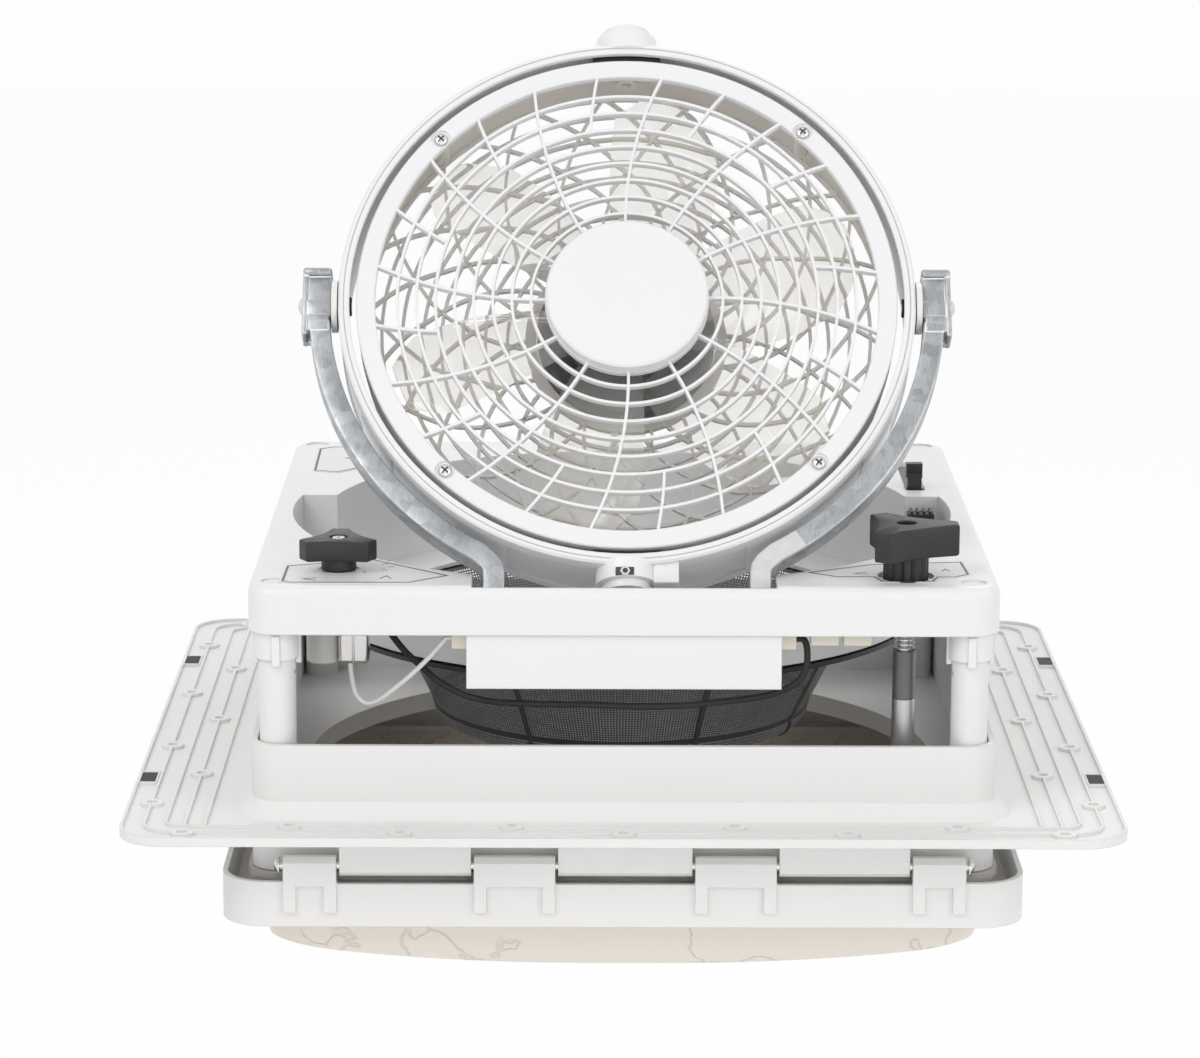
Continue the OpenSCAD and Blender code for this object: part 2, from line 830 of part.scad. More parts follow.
module speed_switch_shaft() {
    color([0.72, 0.72, 0.72])
    at_speed_knob()
        translate([0, 0, -23])
            difference() {
                cylinder(r = 3, h = 30);
                translate([0, 0, 18])
                    cylinder(r = 1.5, h = 13);
            }
}

module lift_knob() {
    boss = 8;
    color([0.08, 0.08, 0.08])
    at_lift_knob()
        difference() {
            union() {
                translate([0, 0, -tray_wall - 3])
                    cylinder(r = 10.2, h = boss + tray_wall + 3);
                for (k = [0:11])
                    rotate([0, 0, 30 * k])
                        translate([9.6, 0, -tray_wall - 3])
                            cylinder(r = 1.1, h = boss + tray_wall + 3);
                translate([0, 0, boss])
                    linear_extrude(lift_knob_head - 1)
                        lobes(lift_knob_reach, 11, 5, 0);
                translate([0, 0, boss + lift_knob_head - 1 - eps])
                    linear_extrude(1)
                        lobes(lift_knob_reach - 0.8, 10.4, 4.4, 0);
            }
            translate([0, 0, boss + lift_knob_head - 3])
                cylinder(r = 4.75, h = 5);
            translate([0, 0, -20])
                cylinder(r = 3.5 + running_gap, h = 33);
        }
}

module label_left_2d() {
    translate([-tray_half, -tray_half])
        polygon([[15.5, 43.5], [15, 9.5], [20, 6.5], [77, 7], [96.2, 23.2], [56.4, 58.5]]);
}

module label_right_2d() {
    translate([tray_half, -tray_half])
        polygon([[-93, 31.6], [-77.4, 21.3], [-60, 21.3], [-57, 12], [-31, 12], [-28, 21.3],
            [-20, 21.5], [-12.5, 28], [-14, 56.3], [-59.6, 50]]);
}

module label_back_2d() {
    translate([-tray_half, tray_half])
        polygon([[14.1, -86], [13.4, -26], [21.2, -20], [66, -20], [74, -28], [66, -46], [38, -80], [28, -91]]);
}

module control_labels() {
    color([0.88, 0.88, 0.88])
    translate([0, 0, tray_top - 0.2])
        linear_extrude(0.5)
            difference() {
                union() {
                    label_left_2d();
                    label_right_2d();
                    label_back_2d();
                }
                translate([speed_knob_x, speed_knob_y])
                    circle(9.5);
                translate([lift_knob_x, lift_knob_y])
                    circle(13.5);
            }
}

module opening_2d() {
    circle(opening_radius);
    channel_2d();
    translate([-trough_half_width, -tray_half + tray_wall])
        square([2 * trough_half_width, tray_half - tray_wall]);
}

module channel_2d(grow = 0) {
    intersection() {
        translate([0, stow_y])
            circle(channel_radius + grow);
        translate([-tray_half, -tray_half])
            square([tray_size, tray_half + channel_end + grow]);
    }
}

module tray_shell() {
    inner = tray_size - 2 * tray_wall;
    r = tray_edge_radius;
    run = tray_size - 2 * tray_corner_radius;
    difference() {
        union() {
            translate([0, 0, tray_foot])
                linear_extrude(tray_height - r)
                    rounded(tray_size, tray_size, tray_corner_radius);
            translate([0, 0, tray_foot])
                linear_extrude(tray_height)
                    rounded(tray_size - 2 * r, tray_size - 2 * r, tray_corner_radius - r);
            for (q = [0:3])
                rotate([0, 0, 90 * q]) {
                    translate([-run / 2, tray_half - r, tray_top - r])
                        rotate([0, 90, 0])
                            cylinder(r = r, h = run);
                    translate([run / 2, run / 2, tray_top - r])
                        rotate([0, 0, -5])
                            rotate_extrude(angle = 100)
                                translate([tray_corner_radius - r, 0])
                                    circle(r);
                }
        }
        translate([0, 0, tray_foot - 1])
            linear_extrude(tray_height - tray_wall + 1)
                rounded(inner, inner, tray_corner_radius - tray_wall);
    }
}

module tray_walls() {
    // the skirt with the ledge that carries the screen
    translate([0, 0, skirt_foot])
        linear_extrude(plate_under - skirt_foot + 1)
            difference() {
                circle(skirt_outer);
                circle(opening_radius);
            }
    translate([0, 0, skirt_foot])
        linear_extrude(ledge_thickness)
            difference() {
                circle(skirt_outer);
                circle(screen_top_radius);
            }
    // the floor and the outer wall of the channel
    translate([0, 0, channel_under])
        linear_extrude(tray_wall)
            difference() {
                channel_2d(tray_wall);
                circle(opening_radius);
            }
    translate([0, 0, channel_under])
        linear_extrude(plate_under - channel_under + 1)
            difference() {
                channel_2d(tray_wall);
                channel_2d();
                circle(opening_radius);
            }
    // the trough for the yoke's legs
    translate([0, 0, trough_under])
        linear_extrude(tray_foot - trough_under + 1)
            difference() {
                translate([-trough_outer, trough_front])
                    square([2 * trough_outer, -trough_front]);
                circle(opening_radius);
            }
    translate([0, 0, tray_foot])
        linear_extrude(tray_height - tray_edge_radius - 1)
            difference() {
                translate([-trough_outer, -tray_half])
                    square([2 * trough_outer, tray_half]);
                circle(opening_radius);
            }
    translate([0, 0, tray_top - tray_edge_radius - 2])
        linear_extrude(tray_edge_radius)
            difference() {
                translate([-trough_outer, -tray_half + tray_edge_radius])
                    square([2 * trough_outer, tray_half - tray_edge_radius]);
                circle(opening_radius);
            }
    for (sx = [-1, 1], sy = [-1, 1])
        translate([sx * post_offset, sy * post_offset, post_height - 10])
            difference() {
                union() {
                    cylinder(r = post_radius + 1.9, h = plate_under - post_height + 11);
                    for (a = [0, 90])
                        rotate([0, 0, a])
                            translate([-post_radius - 2.6, -2, -2.6])
                                cube([2 * post_radius + 5.2, 4, 15]);
                }
                translate([0, 0, -5])
                    cylinder(r = post_radius + 0.25, h = 16);
            }
}

module trim_tray() {
    color([0.96, 0.96, 0.95])
    difference() {
        union() {
            tray_shell();
            tray_walls();
        }
        // what lies open above the channel floor and the trough floor
        translate([0, 0, channel_floor])
            linear_extrude(50)
                opening_2d();
        translate([0, 0, trough_floor])
            linear_extrude(50)
                translate([-trough_half_width, trough_front + tray_wall])
                    square([2 * trough_half_width, -trough_front - tray_wall]);
        translate([0, 0, tray_foot + tray_wall])
            linear_extrude(50)
                translate([-trough_half_width, -tray_half + tray_wall])
                    square([2 * trough_half_width, tray_half - tray_wall]);
        translate([0, -yoke_hinge_y, yoke_hinge_z])
            rod_x(-trough_outer - 3, trough_outer + 3, yoke_shaft_radius + running_gap);
        // corner dishes
        for (sx = [-1, 1], sy = [-1, 1])
            translate([sx * (tray_half - 12.5), sy * (tray_half - 12.5), tray_top - 0.8])
                cylinder(r = dish_radius, h = 5);
        // the places for the labels, the knobs and the lever
        translate([0, 0, tray_top - 0.2])
            linear_extrude(1) {
                label_left_2d();
                label_right_2d();
                label_back_2d();
            }
        at_speed_knob()
            translate([0, 0, -10])
                cylinder(r = 3.4, h = 20);
        at_lift_knob()
            translate([0, 0, -10])
                cylinder(r = 13.5, h = 20);
        translate([lever_slot_x, lever_y - 9, plate_under - 5])
            cube([lever_slot_width, 73, 20]);
    }
}

module yoke_hinge_box() {
    w = trough_outer - 1;
    inner_depth = 21;
    outer_depth = inner_depth + 2 * box_wall;
    color([0.96, 0.96, 0.95]) {
        difference() {
            translate([-w, box_front, box_foot])
                cube([2 * w, outer_depth, trough_under - box_foot - 0.2]);
            difference() {
                translate([-w + box_wall, box_front + box_wall, box_foot + box_wall])
                    cube([2 * (w - box_wall), inner_depth, 40]);
                for (x = [-60, 60], y = [4.5, 15.5])
                    translate([x, box_front + box_wall + y, box_foot])
                        cylinder(r = 2, h = 4);
            }
            for (s = [-1, 1])
                translate([s * w, -tray_half + 12, box_foot + 10])
                    rod_x(-5, 5, 2.2);
            cylinder(r = skirt_outer + 0.3, h = 100);
        }
        // the face, which laps over the trough
        translate([-trough_outer, box_front, box_foot])
            cube([2 * trough_outer, box_wall, tray_foot - box_foot - 0.2]);
    }
}

module circuit_board() {
    edge = box_front + box_wall + 1;
    color([0.10, 0.35, 0.18])
    translate([-66, edge, box_foot + 4])
        cube([132, 18, 1.6]);
    color([0.15, 0.15, 0.15])
    for (x = [-50, -28, 4, 30])
        translate([x, edge + 3, box_foot + 5.6])
            cube([14, 9, 4]);
}

module board_connectors() {
    color([0.88, 0.84, 0.70])
    for (x = [trough_outer + 14, trough_outer + 29.5])
        translate([x, -tray_half + 7, trough_floor + 2.5])
            cube([13, 10, plate_under - trough_floor - 2.5]);
    color([0.93, 0.93, 0.92])
    translate([trough_outer, -tray_half + 7, trough_floor + 0.5])
        cube([7, 10, 8]);
    color([0.93, 0.93, 0.92])
    translate([-trough_outer - 7, -tray_half + 7, trough_floor + 0.5])
        cube([7, 10, 8]);
}

module insect_screen() {
    top = skirt_foot - 0.3;
    rim = screen_top_radius - 1;
    b = screen_bottom;
    r = screen_bottom_radius;
    t = screen_thickness;
    hem = 8;
    color([0.09, 0.09, 0.09])
    rotate_extrude() {
        polygon([[rim, top], [r + hem, b + hem], [r + hem + t, b + hem],
            [rim + t, top - 1.2], [rim + 12, top - 1.2], [rim + 12, top]]);
        translate([r, b + hem])
            difference() {
                circle(hem + t);
                circle(hem);
                translate([-2 * hem, 0])
                    square([4 * hem, 2 * hem]);
                translate([-2 * hem, -2 * hem])
                    square([2 * hem, 4 * hem]);
            }
        translate([0, b - t])
            square([r + eps, t]);
        translate([r + hem, b + hem - eps])
            square([t, 2 * eps]);
    }
}

module screen_retainer() {
    color([0.93, 0.93, 0.92])
    translate([0, 0, skirt_foot - 4])
        linear_extrude(2.4)
            difference() {
                circle(skirt_outer - 1);
                circle(screen_top_radius + 3.5);
            }
}

module mode_lever() {
    color([0.07, 0.07, 0.07])
    translate([lever_slot_x + lever_slot_width / 2, lever_y, 0]) {
        translate([-6.5, -6, plate_under - 3.4])
            cube([13, 16, 3]);
        translate([-3.6, -5, plate_under - 1])
            cube([7.2, 9, tray_wall + 9]);
        translate([-4.2, -1.5, tray_top + 5])
            cube([8.4, 5.5, 7.5]);
    }
}

module stow_latch() {
    color([0.07, 0.07, 0.07])
    translate([latch_x, latch_y, 0]) {
        translate([0, 0, channel_floor + 0.4])
            cube([13.4, 9.6, 18.6]);
        for (k = [0:3])
            translate([1.2 + 3.2 * k, 0, channel_floor + 18.5])
                cube([1.4, 9.6, 2]);
    }
}

module yoke_arm(side) {
    start = 90 - leg_angle;
    color([0.62, 0.64, 0.66])
    at_head()
        mirror([side < 0 ? 1 : 0, 0, 0])
            difference() {
                union() {
                    rotate([0, 0, -start])
                        rotate_extrude(angle = start - 5)
                            translate([arm_inner_radius, -arm_depth / 2])
                                square([arm_width, arm_depth]);
                    translate([leg_inner, -yoke_length, 0.25 - arm_depth / 2])
                        cube([leg_width, yoke_length - arm_inner_radius * cos(leg_angle) - 2, arm_depth - 0.5]);
                    translate([0, -yoke_length, 0])
                        rod_x(leg_inner - 0.3, leg_inner + leg_width + 0.3, arm_depth / 2 + 0.3);
                    translate([block_inner + block_width / 2, 0, -arm_depth / 2 - 0.4])
                        linear_extrude(arm_depth + 0.8)
                            rounded(block_width, block_length, 2.5);
                }
                rod_x(pivot_bore_start, pivot_bore_end, pivot_radius + running_gap);
                translate([0, -yoke_length, 0])
                    rod_x(leg_inner - 18, leg_inner + leg_width + 18, yoke_shaft_radius + running_gap);
            }
}

module yoke_arm_left() {
    yoke_arm(-1);
}

module yoke_arm_right() {
    yoke_arm(1);
}

module yoke_hinge_shaft() {
    color([0.72, 0.72, 0.72])
    translate([0, -yoke_hinge_y, yoke_hinge_z])
        rod_x(-trough_outer + 0.2, trough_outer - 0.2, yoke_shaft_radius);
}

module tilt_washers() {
    color([0.93, 0.93, 0.92])
    at_head()
        for (s = [0, 1])
            mirror([s, 0, 0])
                difference() {
                    rod_x(ring_outer_radius + loose_gap, block_inner - 0.1, washer_radius);
                    rod_x(pivot_bore_start, pivot_bore_end, pivot_radius + running_gap);
                }
}

module tilt_pivot_screws() {
    color([0.80, 0.80, 0.80])
    at_head()
        for (s = [0, 1])
            mirror([s, 0, 0]) {
                rod_x(ring_lip_radius - 0.8, block_outer + 0.5, pivot_radius);
                translate([block_outer, 0, 0])
                    rotate([0, 90, 0])
                        intersection() {
                            cylinder(r = 4.6, h = 2.6);
                            translate([0, 0, -3.6])
                                sphere(6.1);
                        }
            }
}

module tilt_pivot_nuts() {
    color([0.08, 0.08, 0.08])
    at_head()
        for (s = [0, 1])
            mirror([s, 0, 0])
                difference() {
                    rod_x(ring_lip_radius - 0.7, ring_inner - 0.45, 4.6);
                    rod_x(pivot_bore_start, pivot_bore_end, pivot_radius + running_gap);
                }
}

module gimbal_ring() {
    outer = ring_outer_radius;
    lip = ring_lip_radius;
    color([0.95, 0.95, 0.94])
    at_head()
        translate([17.5, -ring_outer_radius - 6.5, -3])
            cube([5, 10.2, 6]);
    color([0.95, 0.95, 0.94])
    at_head()
        difference() {
            union() {
                rotate_extrude()
                    polygon([[ring_inner, -ring_back], [outer - 0.6, -ring_back], [outer, -ring_back + 0.6],
                        [outer, ring_front - 1], [outer - 1, ring_front], [lip + 0.5, ring_front],
                        [lip, ring_front - 0.5], [lip, ring_front - 3], [ring_inner, ring_front - 4]]);
                for (s = [1, -1])
                    rotate([0, 0, s * 90]) {
                        rod_x(ring_outer_radius - 2.8, boss_reach - 4, boss_radius);
                        rod_x(boss_reach - 4.1, boss_reach, boss_radius - 3);
                    }
            }
            for (k = [0:11])
                rotate([0, 0, 30 * k + 6])
                    rotate_extrude(angle = 18)
                        translate([ring_outer_radius - 0.9, -ring_back + 6])
                            square([3, ring_back - 2]);
            for (s = [0:3])
                rotate([0, 0, s * 90])
                    rod_x(pivot_bore_start, pivot_bore_end, pivot_radius + running_gap);
            for (s = [1, -1])
                rotate([0, 0, s * 90])
                    rod_x(boss_reach - 2.4, boss_reach + 1, 6);
        }
}

module swivel_pivot_screws() {
    color([0.80, 0.80, 0.80])
    at_head()
        for (s = [1, -1])
            rotate([0, 0, s * 90]) {
                rod_x(band_outer_radius - 7.3, boss_reach - 2, pivot_radius);
                difference() {
                    rod_x(boss_reach - 2.3, boss_reach - 0.2, 4.6);
                    translate([boss_reach, 0, 0])
                        cube([2, 1.2, 12], center = true);
                }
            }
}

module swivel_bushes() {
    color([0.07, 0.07, 0.07])
    at_head()
        for (s = [1, -1])
            rotate([0, 0, s * 90])
                difference() {
                    rotate([0, 0, -7])
                        rotate_extrude(angle = 14)
                            translate([band_outer_radius + 0.9, -bush_depth / 2])
                                square([ring_inner - band_outer_radius - 1.2, bush_depth]);
                    rod_x(pivot_bore_start, pivot_bore_end, pivot_radius + running_gap);
                }
}

spoke_bend = 182.6;
spoke_root = cap_radius - 0.4;

// How far a bar that starts square to a circle of radius start has turned along its bend at another radius
function bar_turn(start, bend, radius) =
    atan2(bend, start) +
        asin((radius * radius - start * start - 2 * bend * bend) / (2 * bend * norm([start, bend])));

function spoke_turn(radius) = bar_turn(spoke_root, spoke_bend, radius);

module spoke(from, to) {
    translate([spoke_root, -spoke_bend, 0])
        rotate([0, 0, 90 - to])
            rotate_extrude(angle = to - from, $fn = 180)
                translate([spoke_bend - bar_width / 2, face_front - 0.3 - bar_depth])
                    square([bar_width, bar_depth]);
}

module front_grille() {
    inner = band_inner_radius;
    outer = band_outer_radius;
    short_start = first_ring_radius + (grille_ring_count - 3) * ring_step + bar_width - 0.14;
    color([0.97, 0.97, 0.96])
    at_head() {
        difference() {
            union() {
                rotate_extrude()
                    polygon([[inner, face_back], [outer, face_back], [outer, face_front - 0.6],
                        [outer - 0.6, face_front], [inner + 0.5, face_front], [inner, face_front - 0.5]]);
                for (k = [0:grille_ring_count - 1])
                    rotate_extrude()
                        translate([first_ring_radius + ring_step * k, face_front - 0.5 - bar_depth])
                            square([bar_width, bar_depth]);
                rotate_extrude()
                    translate([cap_radius - 1.3, face_back])
                        square([1.8, bar_depth]);
                for (k = [0:spoke_count - 1])
                    rotate([0, 0, 360 / spoke_count * k + 91])
                        spoke(0, spoke_turn(inner + band_width / 2));
                for (k = [0:spoke_count - 1])
                    rotate([0, 0, 360 / spoke_count * (k + 0.5) + 91])
                        spoke(spoke_turn(short_start), spoke_turn(inner + band_width / 2));
            }
            rotate([0, 0, grille_screw_turn])
                for (k = [0:3])
                    rotate([0, 0, 90 * k])
                        translate([grille_screw_circle, 0, 0]) {
                            cylinder(r = 1.6, h = 30, center = true);
                            translate([0, 0, face_front - 1.2])
                                cylinder(r = 4.9, h = 5);
                        }
        }
    }
}

module hub_cap() {
    r = cap_radius;
    top = face_front + cap_rise;
    color([0.97, 0.97, 0.96])
    at_head()
        rotate_extrude()
            polygon([[0, top - 2], [r - 4, top - 2], [r - 4, face_back + 0.4], [r - 1.35, face_back + 0.4],
                [r - 1.35, face_front - 0.25], [r, face_front - 0.25], [r, top - 1], [r - 1, top], [0, top]]);
}

module grille_screws() {
    color([0.80, 0.80, 0.80])
    at_head()
        rotate([0, 0, grille_screw_turn])
            for (k = [0:3])
                rotate([0, 0, 90 * k])
                    translate([grille_screw_circle, 0, face_front - 1.1])
                        difference() {
                            union() {
                                cylinder(r = 3.4, h = 1.2);
                                translate([0, 0, 1.2 - eps])
                                    cylinder(r1 = 3.4, r2 = 2.2, h = 0.9);
                                translate([0, 0, -14])
                                    cylinder(r = 1.5, h = 15);
                            }
                            translate([0, 0, 2])
                                cube([3.6, 0.8, 1.6], center = true);
                            translate([0, 0, 2])
                                cube([0.8, 3.6, 1.6], center = true);
                        }
}

module fan_housing() {
    wall = 2.5;
    r = housing_outer;
    color([0.94, 0.94, 0.93])
    at_head()
        difference() {
            union() {
                rotate_extrude()
                    polygon([[r - wall, -housing_back], [r - 1, -housing_back], [r, housing_front - 14],
                        [r, housing_front], [r - wall, housing_front]]);
                rotate([0, 0, grille_screw_turn])
                    for (k = [0:3])
                        rotate([0, 0, 90 * k])
                            translate([grille_screw_circle, 0, housing_front - 16])
                                cylinder(r = 3.6, h = 16);
                for (s = [1, -1])
                    rotate([0, 0, s * 90])
                        rod_x(housing_outer - 8.1, housing_outer - 1, 5.5);
            }
            rotate([0, 0, grille_screw_turn])
                for (k = [0:3])
                    rotate([0, 0, 90 * k])
                        translate([grille_screw_circle, 0, -14])
                            cylinder(r = 1.6, h = 40);
            for (s = [1, -1])
                rotate([0, 0, s * 90])
                    rod_x(pivot_bore_start, pivot_bore_end, pivot_radius + running_gap);
        }
}

module rear_grille() {
    wall = 2.5;
    back = -basket_back;
    top = -housing_back - 0.3;
    rim = housing_outer - 1.4;
    inner = basket_radius - 3;
    bend = 95;
    color([0.90, 0.90, 0.88])
    at_head() {
        rotate_extrude() {
            translate([rim - wall, top - 2.5])
                square([wall, 2.5]);
            translate([inner, back])
                square([3, 2.5]);
            for (r = [62, 75, 88])
                translate([r, back])
                    square([1.8, 2.5]);
            translate([motor_radius + 0.3, back])
                square([5.5, 3.5]);
        }
        for (k = [0:23])
            rotate([0, 0, 15 * k])
                rotate([90, 0, 0])
                    translate([0, 0, -0.9])
                        linear_extrude(1.8)
                            polygon([[rim - 0.4, top], [basket_radius - 0.5, back],
                                [inner, back], [inner, back + 2.5], [rim - 2.6, top]]);
        for (k = [0:11])
            rotate([0, 0, 30 * k])
                translate([motor_radius + 4, bend, 0])
                    rotate([0, 0, -90])
                        rotate_extrude(angle = bar_turn(motor_radius + 4, bend, basket_radius - 1.5), $fn = 180)
                            translate([bend - 0.9, back])
                                square([1.8, 2.5]);
    }
}

module motor_can() {
    r = motor_radius;
    color([0.10, 0.10, 0.10])
    at_head()
        difference() {
            rotate_extrude()
                polygon([[0, -motor_back], [r - 8, -motor_back], [r - 2, -motor_back + 4], [r, -motor_back + 6],
                    [r, -motor_front - 2], [r - 2, -motor_front], [0, -motor_front]]);
            translate([0, 0, -motor_back + 3])
                cylinder(r = motor_shaft_radius + running_gap, h = 60);
        }
}

module motor_end_cap() {
    color([0.30, 0.30, 0.30])
    at_head()
        translate([0, 0, -motor_back - 2.6])
            cylinder(r1 = 22, r2 = 24, h = 2.5);
}

module motor_screws() {
    color([0.80, 0.80, 0.80])
    at_head()
        for (k = [0:2])
            rotate([0, 0, 30 + 120 * k])
                translate([30, 0, -motor_front + 0.1])
                    cylinder(r1 = 3.2, r2 = 2.4, h = 1.8);
}

module motor_shaft() {
    color([0.75, 0.75, 0.75])
    at_head()
        translate([0, 0, -motor_back + 4])
            cylinder(r = motor_shaft_radius, h = motor_back + 2);
}

module fan_blades() {
    mid = -10;
    root = hub_radius - 5;
    tip = blade_tip_radius;
    color([0.85, 0.88, 0.90])
    at_head()
        difference() {
            union() {
                translate([0, 0, -25])
                    cylinder(r = hub_radius, h = 27.5);
                for (k = [0:blade_count - 1])
                    rotate([0, 0, 360 / blade_count * k + 15])
                        translate([0, 0, mid])
                            rotate([blade_pitch, 0, 0])
                                translate([0, 0, -0.8])
                                    linear_extrude(1.6)
                                        difference() {
                                            polygon([[root, -14], [root + 34, -24], [tip - 23, -29],
                                                [tip - 8, -27], [tip - 2, -18],
                                                [tip, 0], [tip - 3, 16], [tip - 10, 24], [tip - 28, 24], [root + 34, 18], [root, 14]]);
                                        }
            }
            translate([0, 0, -26])
                difference() {
                    cylinder(r = hub_radius - 2.5, h = 25.5);
                    cylinder(r = 7, h = 26);
                    for (k = [0:5])
                        rotate([0, 0, 60 * k])
                            translate([0, -0.8, 0])
                                cube([40, 1.6, 26]);
                }
            translate([0, 0, -30])
                cylinder(r = motor_shaft_radius + running_gap, h = 60);
        }
}

module blade_nut() {
    color([0.75, 0.75, 0.75])
    at_head()
        translate([0, 0, 2.7])
            difference() {
                cylinder(r = 6, h = 3.2, $fn = 6);
                translate([0, 0, -1])
                    cylinder(r = motor_shaft_radius + running_gap, h = 10);
            }
}

/* [Hidden] */
// The leads hang as photographed: points chosen by hand along each one
cable_points = [[-121.4, -141, 88], [-118.2, -141, 88], [-115.4, -141.4, 86.4], [-112.4, -142.6, 81],
    [-105, -147, 72.5], [-97, -151, 66], [-88, -156, 59.5], [-76, -160, 54], [-62, -163, 51.5],
    [-42, -165, 51], [-20, -166, 51], [4, -167, 50.5], [26, -168, 51], [46, -168, 53], [64, -168, 55.5],
    [74, -167, 58], [82, -166, 62], [86, -166, 67.5], [87, -166, 73], [87, -166, 77.4], [86.4, -166, 81],
    [84.7, -166, 83.5], [81.52, -166, 83.5]];
wire_points = [[-131, -143, 65.96], [-131, -143, 63.2], [-130.6, -143.8, 60], [-129.8, -145.6, 55.6],
    [-128.4, -147.3, 51.4], [-126.2, -148.6, 48.6], [-123.6, -149.6, 47.2], [-120.8, -150.7, 47.3],
    [-117.6, -152, 48.9], [-113.8, -153.6, 51.9], [-106, -156.8, 59], [-98, -160, 67],
    [-92, -162.8, 73.8], [-88.2, -164.8, 78.6], [-86, -165.7, 81.4], [-84.1, -166, 83.5],
    [-81.52, -166, 83.5]];

function unit(v) = v / norm(v);
function heading(p, i) = unit(p[min(i + 1, len(p) - 1)] - p[max(i - 1, 0)]);
function side(p, i) = unit(cross(heading(p, i), [0.13, 0.9, 0.41]));

// A round lead with eight sides that follows the given points
module lead(p, r) {
    n = 8;
    m = len(p);
    points = [for (i = [0:m - 1]) for (k = [0:n - 1])
        p[i] + r * (cos(360 * k / n) * side(p, i) + sin(360 * k / n) * cross(heading(p, i), side(p, i)))];
    faces = concat(
        [[for (k = [n - 1:-1:0]) k]],
        [[for (k = [0:n - 1]) (m - 1) * n + k]],
        [for (i = [0:m - 2]) for (k = [0:n - 1])
            [i * n + k, i * n + (k + 1) % n, (i + 1) * n + (k + 1) % n, (i + 1) * n + k]]);
    polyhedron(points, faces);
}

module motor_cable() {
    color([0.06, 0.06, 0.06])
    lead(cable_points, 1.6);
}

module switch_wire() {
    color([0.92, 0.92, 0.92])
    lead(wire_points, 1.2);
}

roof_flange_base();
flange_pads();
lift_guide();
hinge_pin();
lid_frame();
lid_dome();
lid_seal();
lid_bracket();
lift_rod();
lift_pin();
lift_tube();
lift_sleeve();
lift_screw();
lift_knob();
speed_knob();
speed_knob_screw();
speed_switch_body();
speed_switch_shaft();
control_labels();
trim_tray();
yoke_hinge_box();
circuit_board();
board_connectors();
insect_screen();
screen_retainer();
mode_lever();
stow_latch();
yoke_arm_left();
yoke_arm_right();
yoke_hinge_shaft();
tilt_washers();
tilt_pivot_screws();
tilt_pivot_nuts();
gimbal_ring();
swivel_pivot_screws();
swivel_bushes();
front_grille();
hub_cap();
grille_screws();
fan_housing();
rear_grille();
motor_can();
motor_end_cap();
motor_screws();
motor_shaft();
fan_blades();
blade_nut();
motor_cable();
switch_wire();
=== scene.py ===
# %% [markdown]
# A camper's roof vent fan, cabin side up, as it looks before it is built in.
# The solids from the CAD model are a fixed frame. This lesson gives them their finishes,
# and builds the pieces whose real form a plain solid only hints at: the sewn insect screen,
# the clear blades, the flat yoke arms, the moulded knobs, the printed labels and the leads.

# %% Load the frame
import math

import bmesh
import bpy
from mathutils import Matrix, Vector


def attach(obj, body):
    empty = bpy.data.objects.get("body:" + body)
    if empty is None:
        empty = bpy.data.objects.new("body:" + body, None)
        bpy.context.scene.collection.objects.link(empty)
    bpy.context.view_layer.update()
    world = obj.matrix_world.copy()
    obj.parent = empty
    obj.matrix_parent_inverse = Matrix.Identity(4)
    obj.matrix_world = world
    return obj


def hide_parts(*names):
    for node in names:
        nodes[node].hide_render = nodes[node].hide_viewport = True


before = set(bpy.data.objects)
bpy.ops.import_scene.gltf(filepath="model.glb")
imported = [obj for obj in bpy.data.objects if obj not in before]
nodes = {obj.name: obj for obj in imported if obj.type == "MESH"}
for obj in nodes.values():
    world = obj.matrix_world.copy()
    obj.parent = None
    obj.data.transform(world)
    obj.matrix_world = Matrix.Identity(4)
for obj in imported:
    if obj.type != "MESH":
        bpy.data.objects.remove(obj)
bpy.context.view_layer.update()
print("the frame holds", len(nodes), "solids")

# %% [markdown]
# Most sizes are easier to read in millimetres, so points are written in them and scaled once.
# The yoke leans back from its hinge, so the pieces on it are drawn upright, with X across,
# Y up along the yoke and Z out of the fan's face, and one matrix sets them in place.

# %% Units and the leaning frame of the fan head
MM = 0.001
LEAN = math.radians(35.4)
YOKE_HINGE = Vector((1.4, -165.0, 96.0)) * MM
YOKE_LENGTH = 160.3
UP_YOKE = Vector((0, math.sin(LEAN), math.cos(LEAN)))
OUT_OF_FACE = Vector((0, -math.cos(LEAN), math.sin(LEAN)))
RING_MIDDLE = YOKE_HINGE + UP_YOKE * YOKE_LENGTH * MM
HEAD = Matrix.Translation(RING_MIDDLE) @ Matrix((
    (1, 0, 0, 0),
    (0, UP_YOKE.y, OUT_OF_FACE.y, 0),
    (0, UP_YOKE.z, OUT_OF_FACE.z, 0),
    (0, 0, 0, 1),
)) @ Matrix.Scale(MM, 4)
UPRIGHT = Matrix.Scale(MM, 4)
print("the ring's middle is at", [round(v, 4) for v in RING_MIDDLE])

# %% [markdown]
# The photograph was taken from a little above with a long lens, about two metres away.
# The camera's place, turn and lens were fitted to the tray's corners, the flange's screw
# holes and the collar. The small shift puts the lens's axis where the fit found it.

# %% Camera
SENSOR_WIDTH, LENS_LENGTH, LENS_SHIFT = 36.0, 127.63, -0.00587
CAMERA_PLACE = (-0.01763, -2.12514, 0.56594)
CAMERA_TURN = (77.732, -0.198, -0.134)  # degrees about X, Y and Z

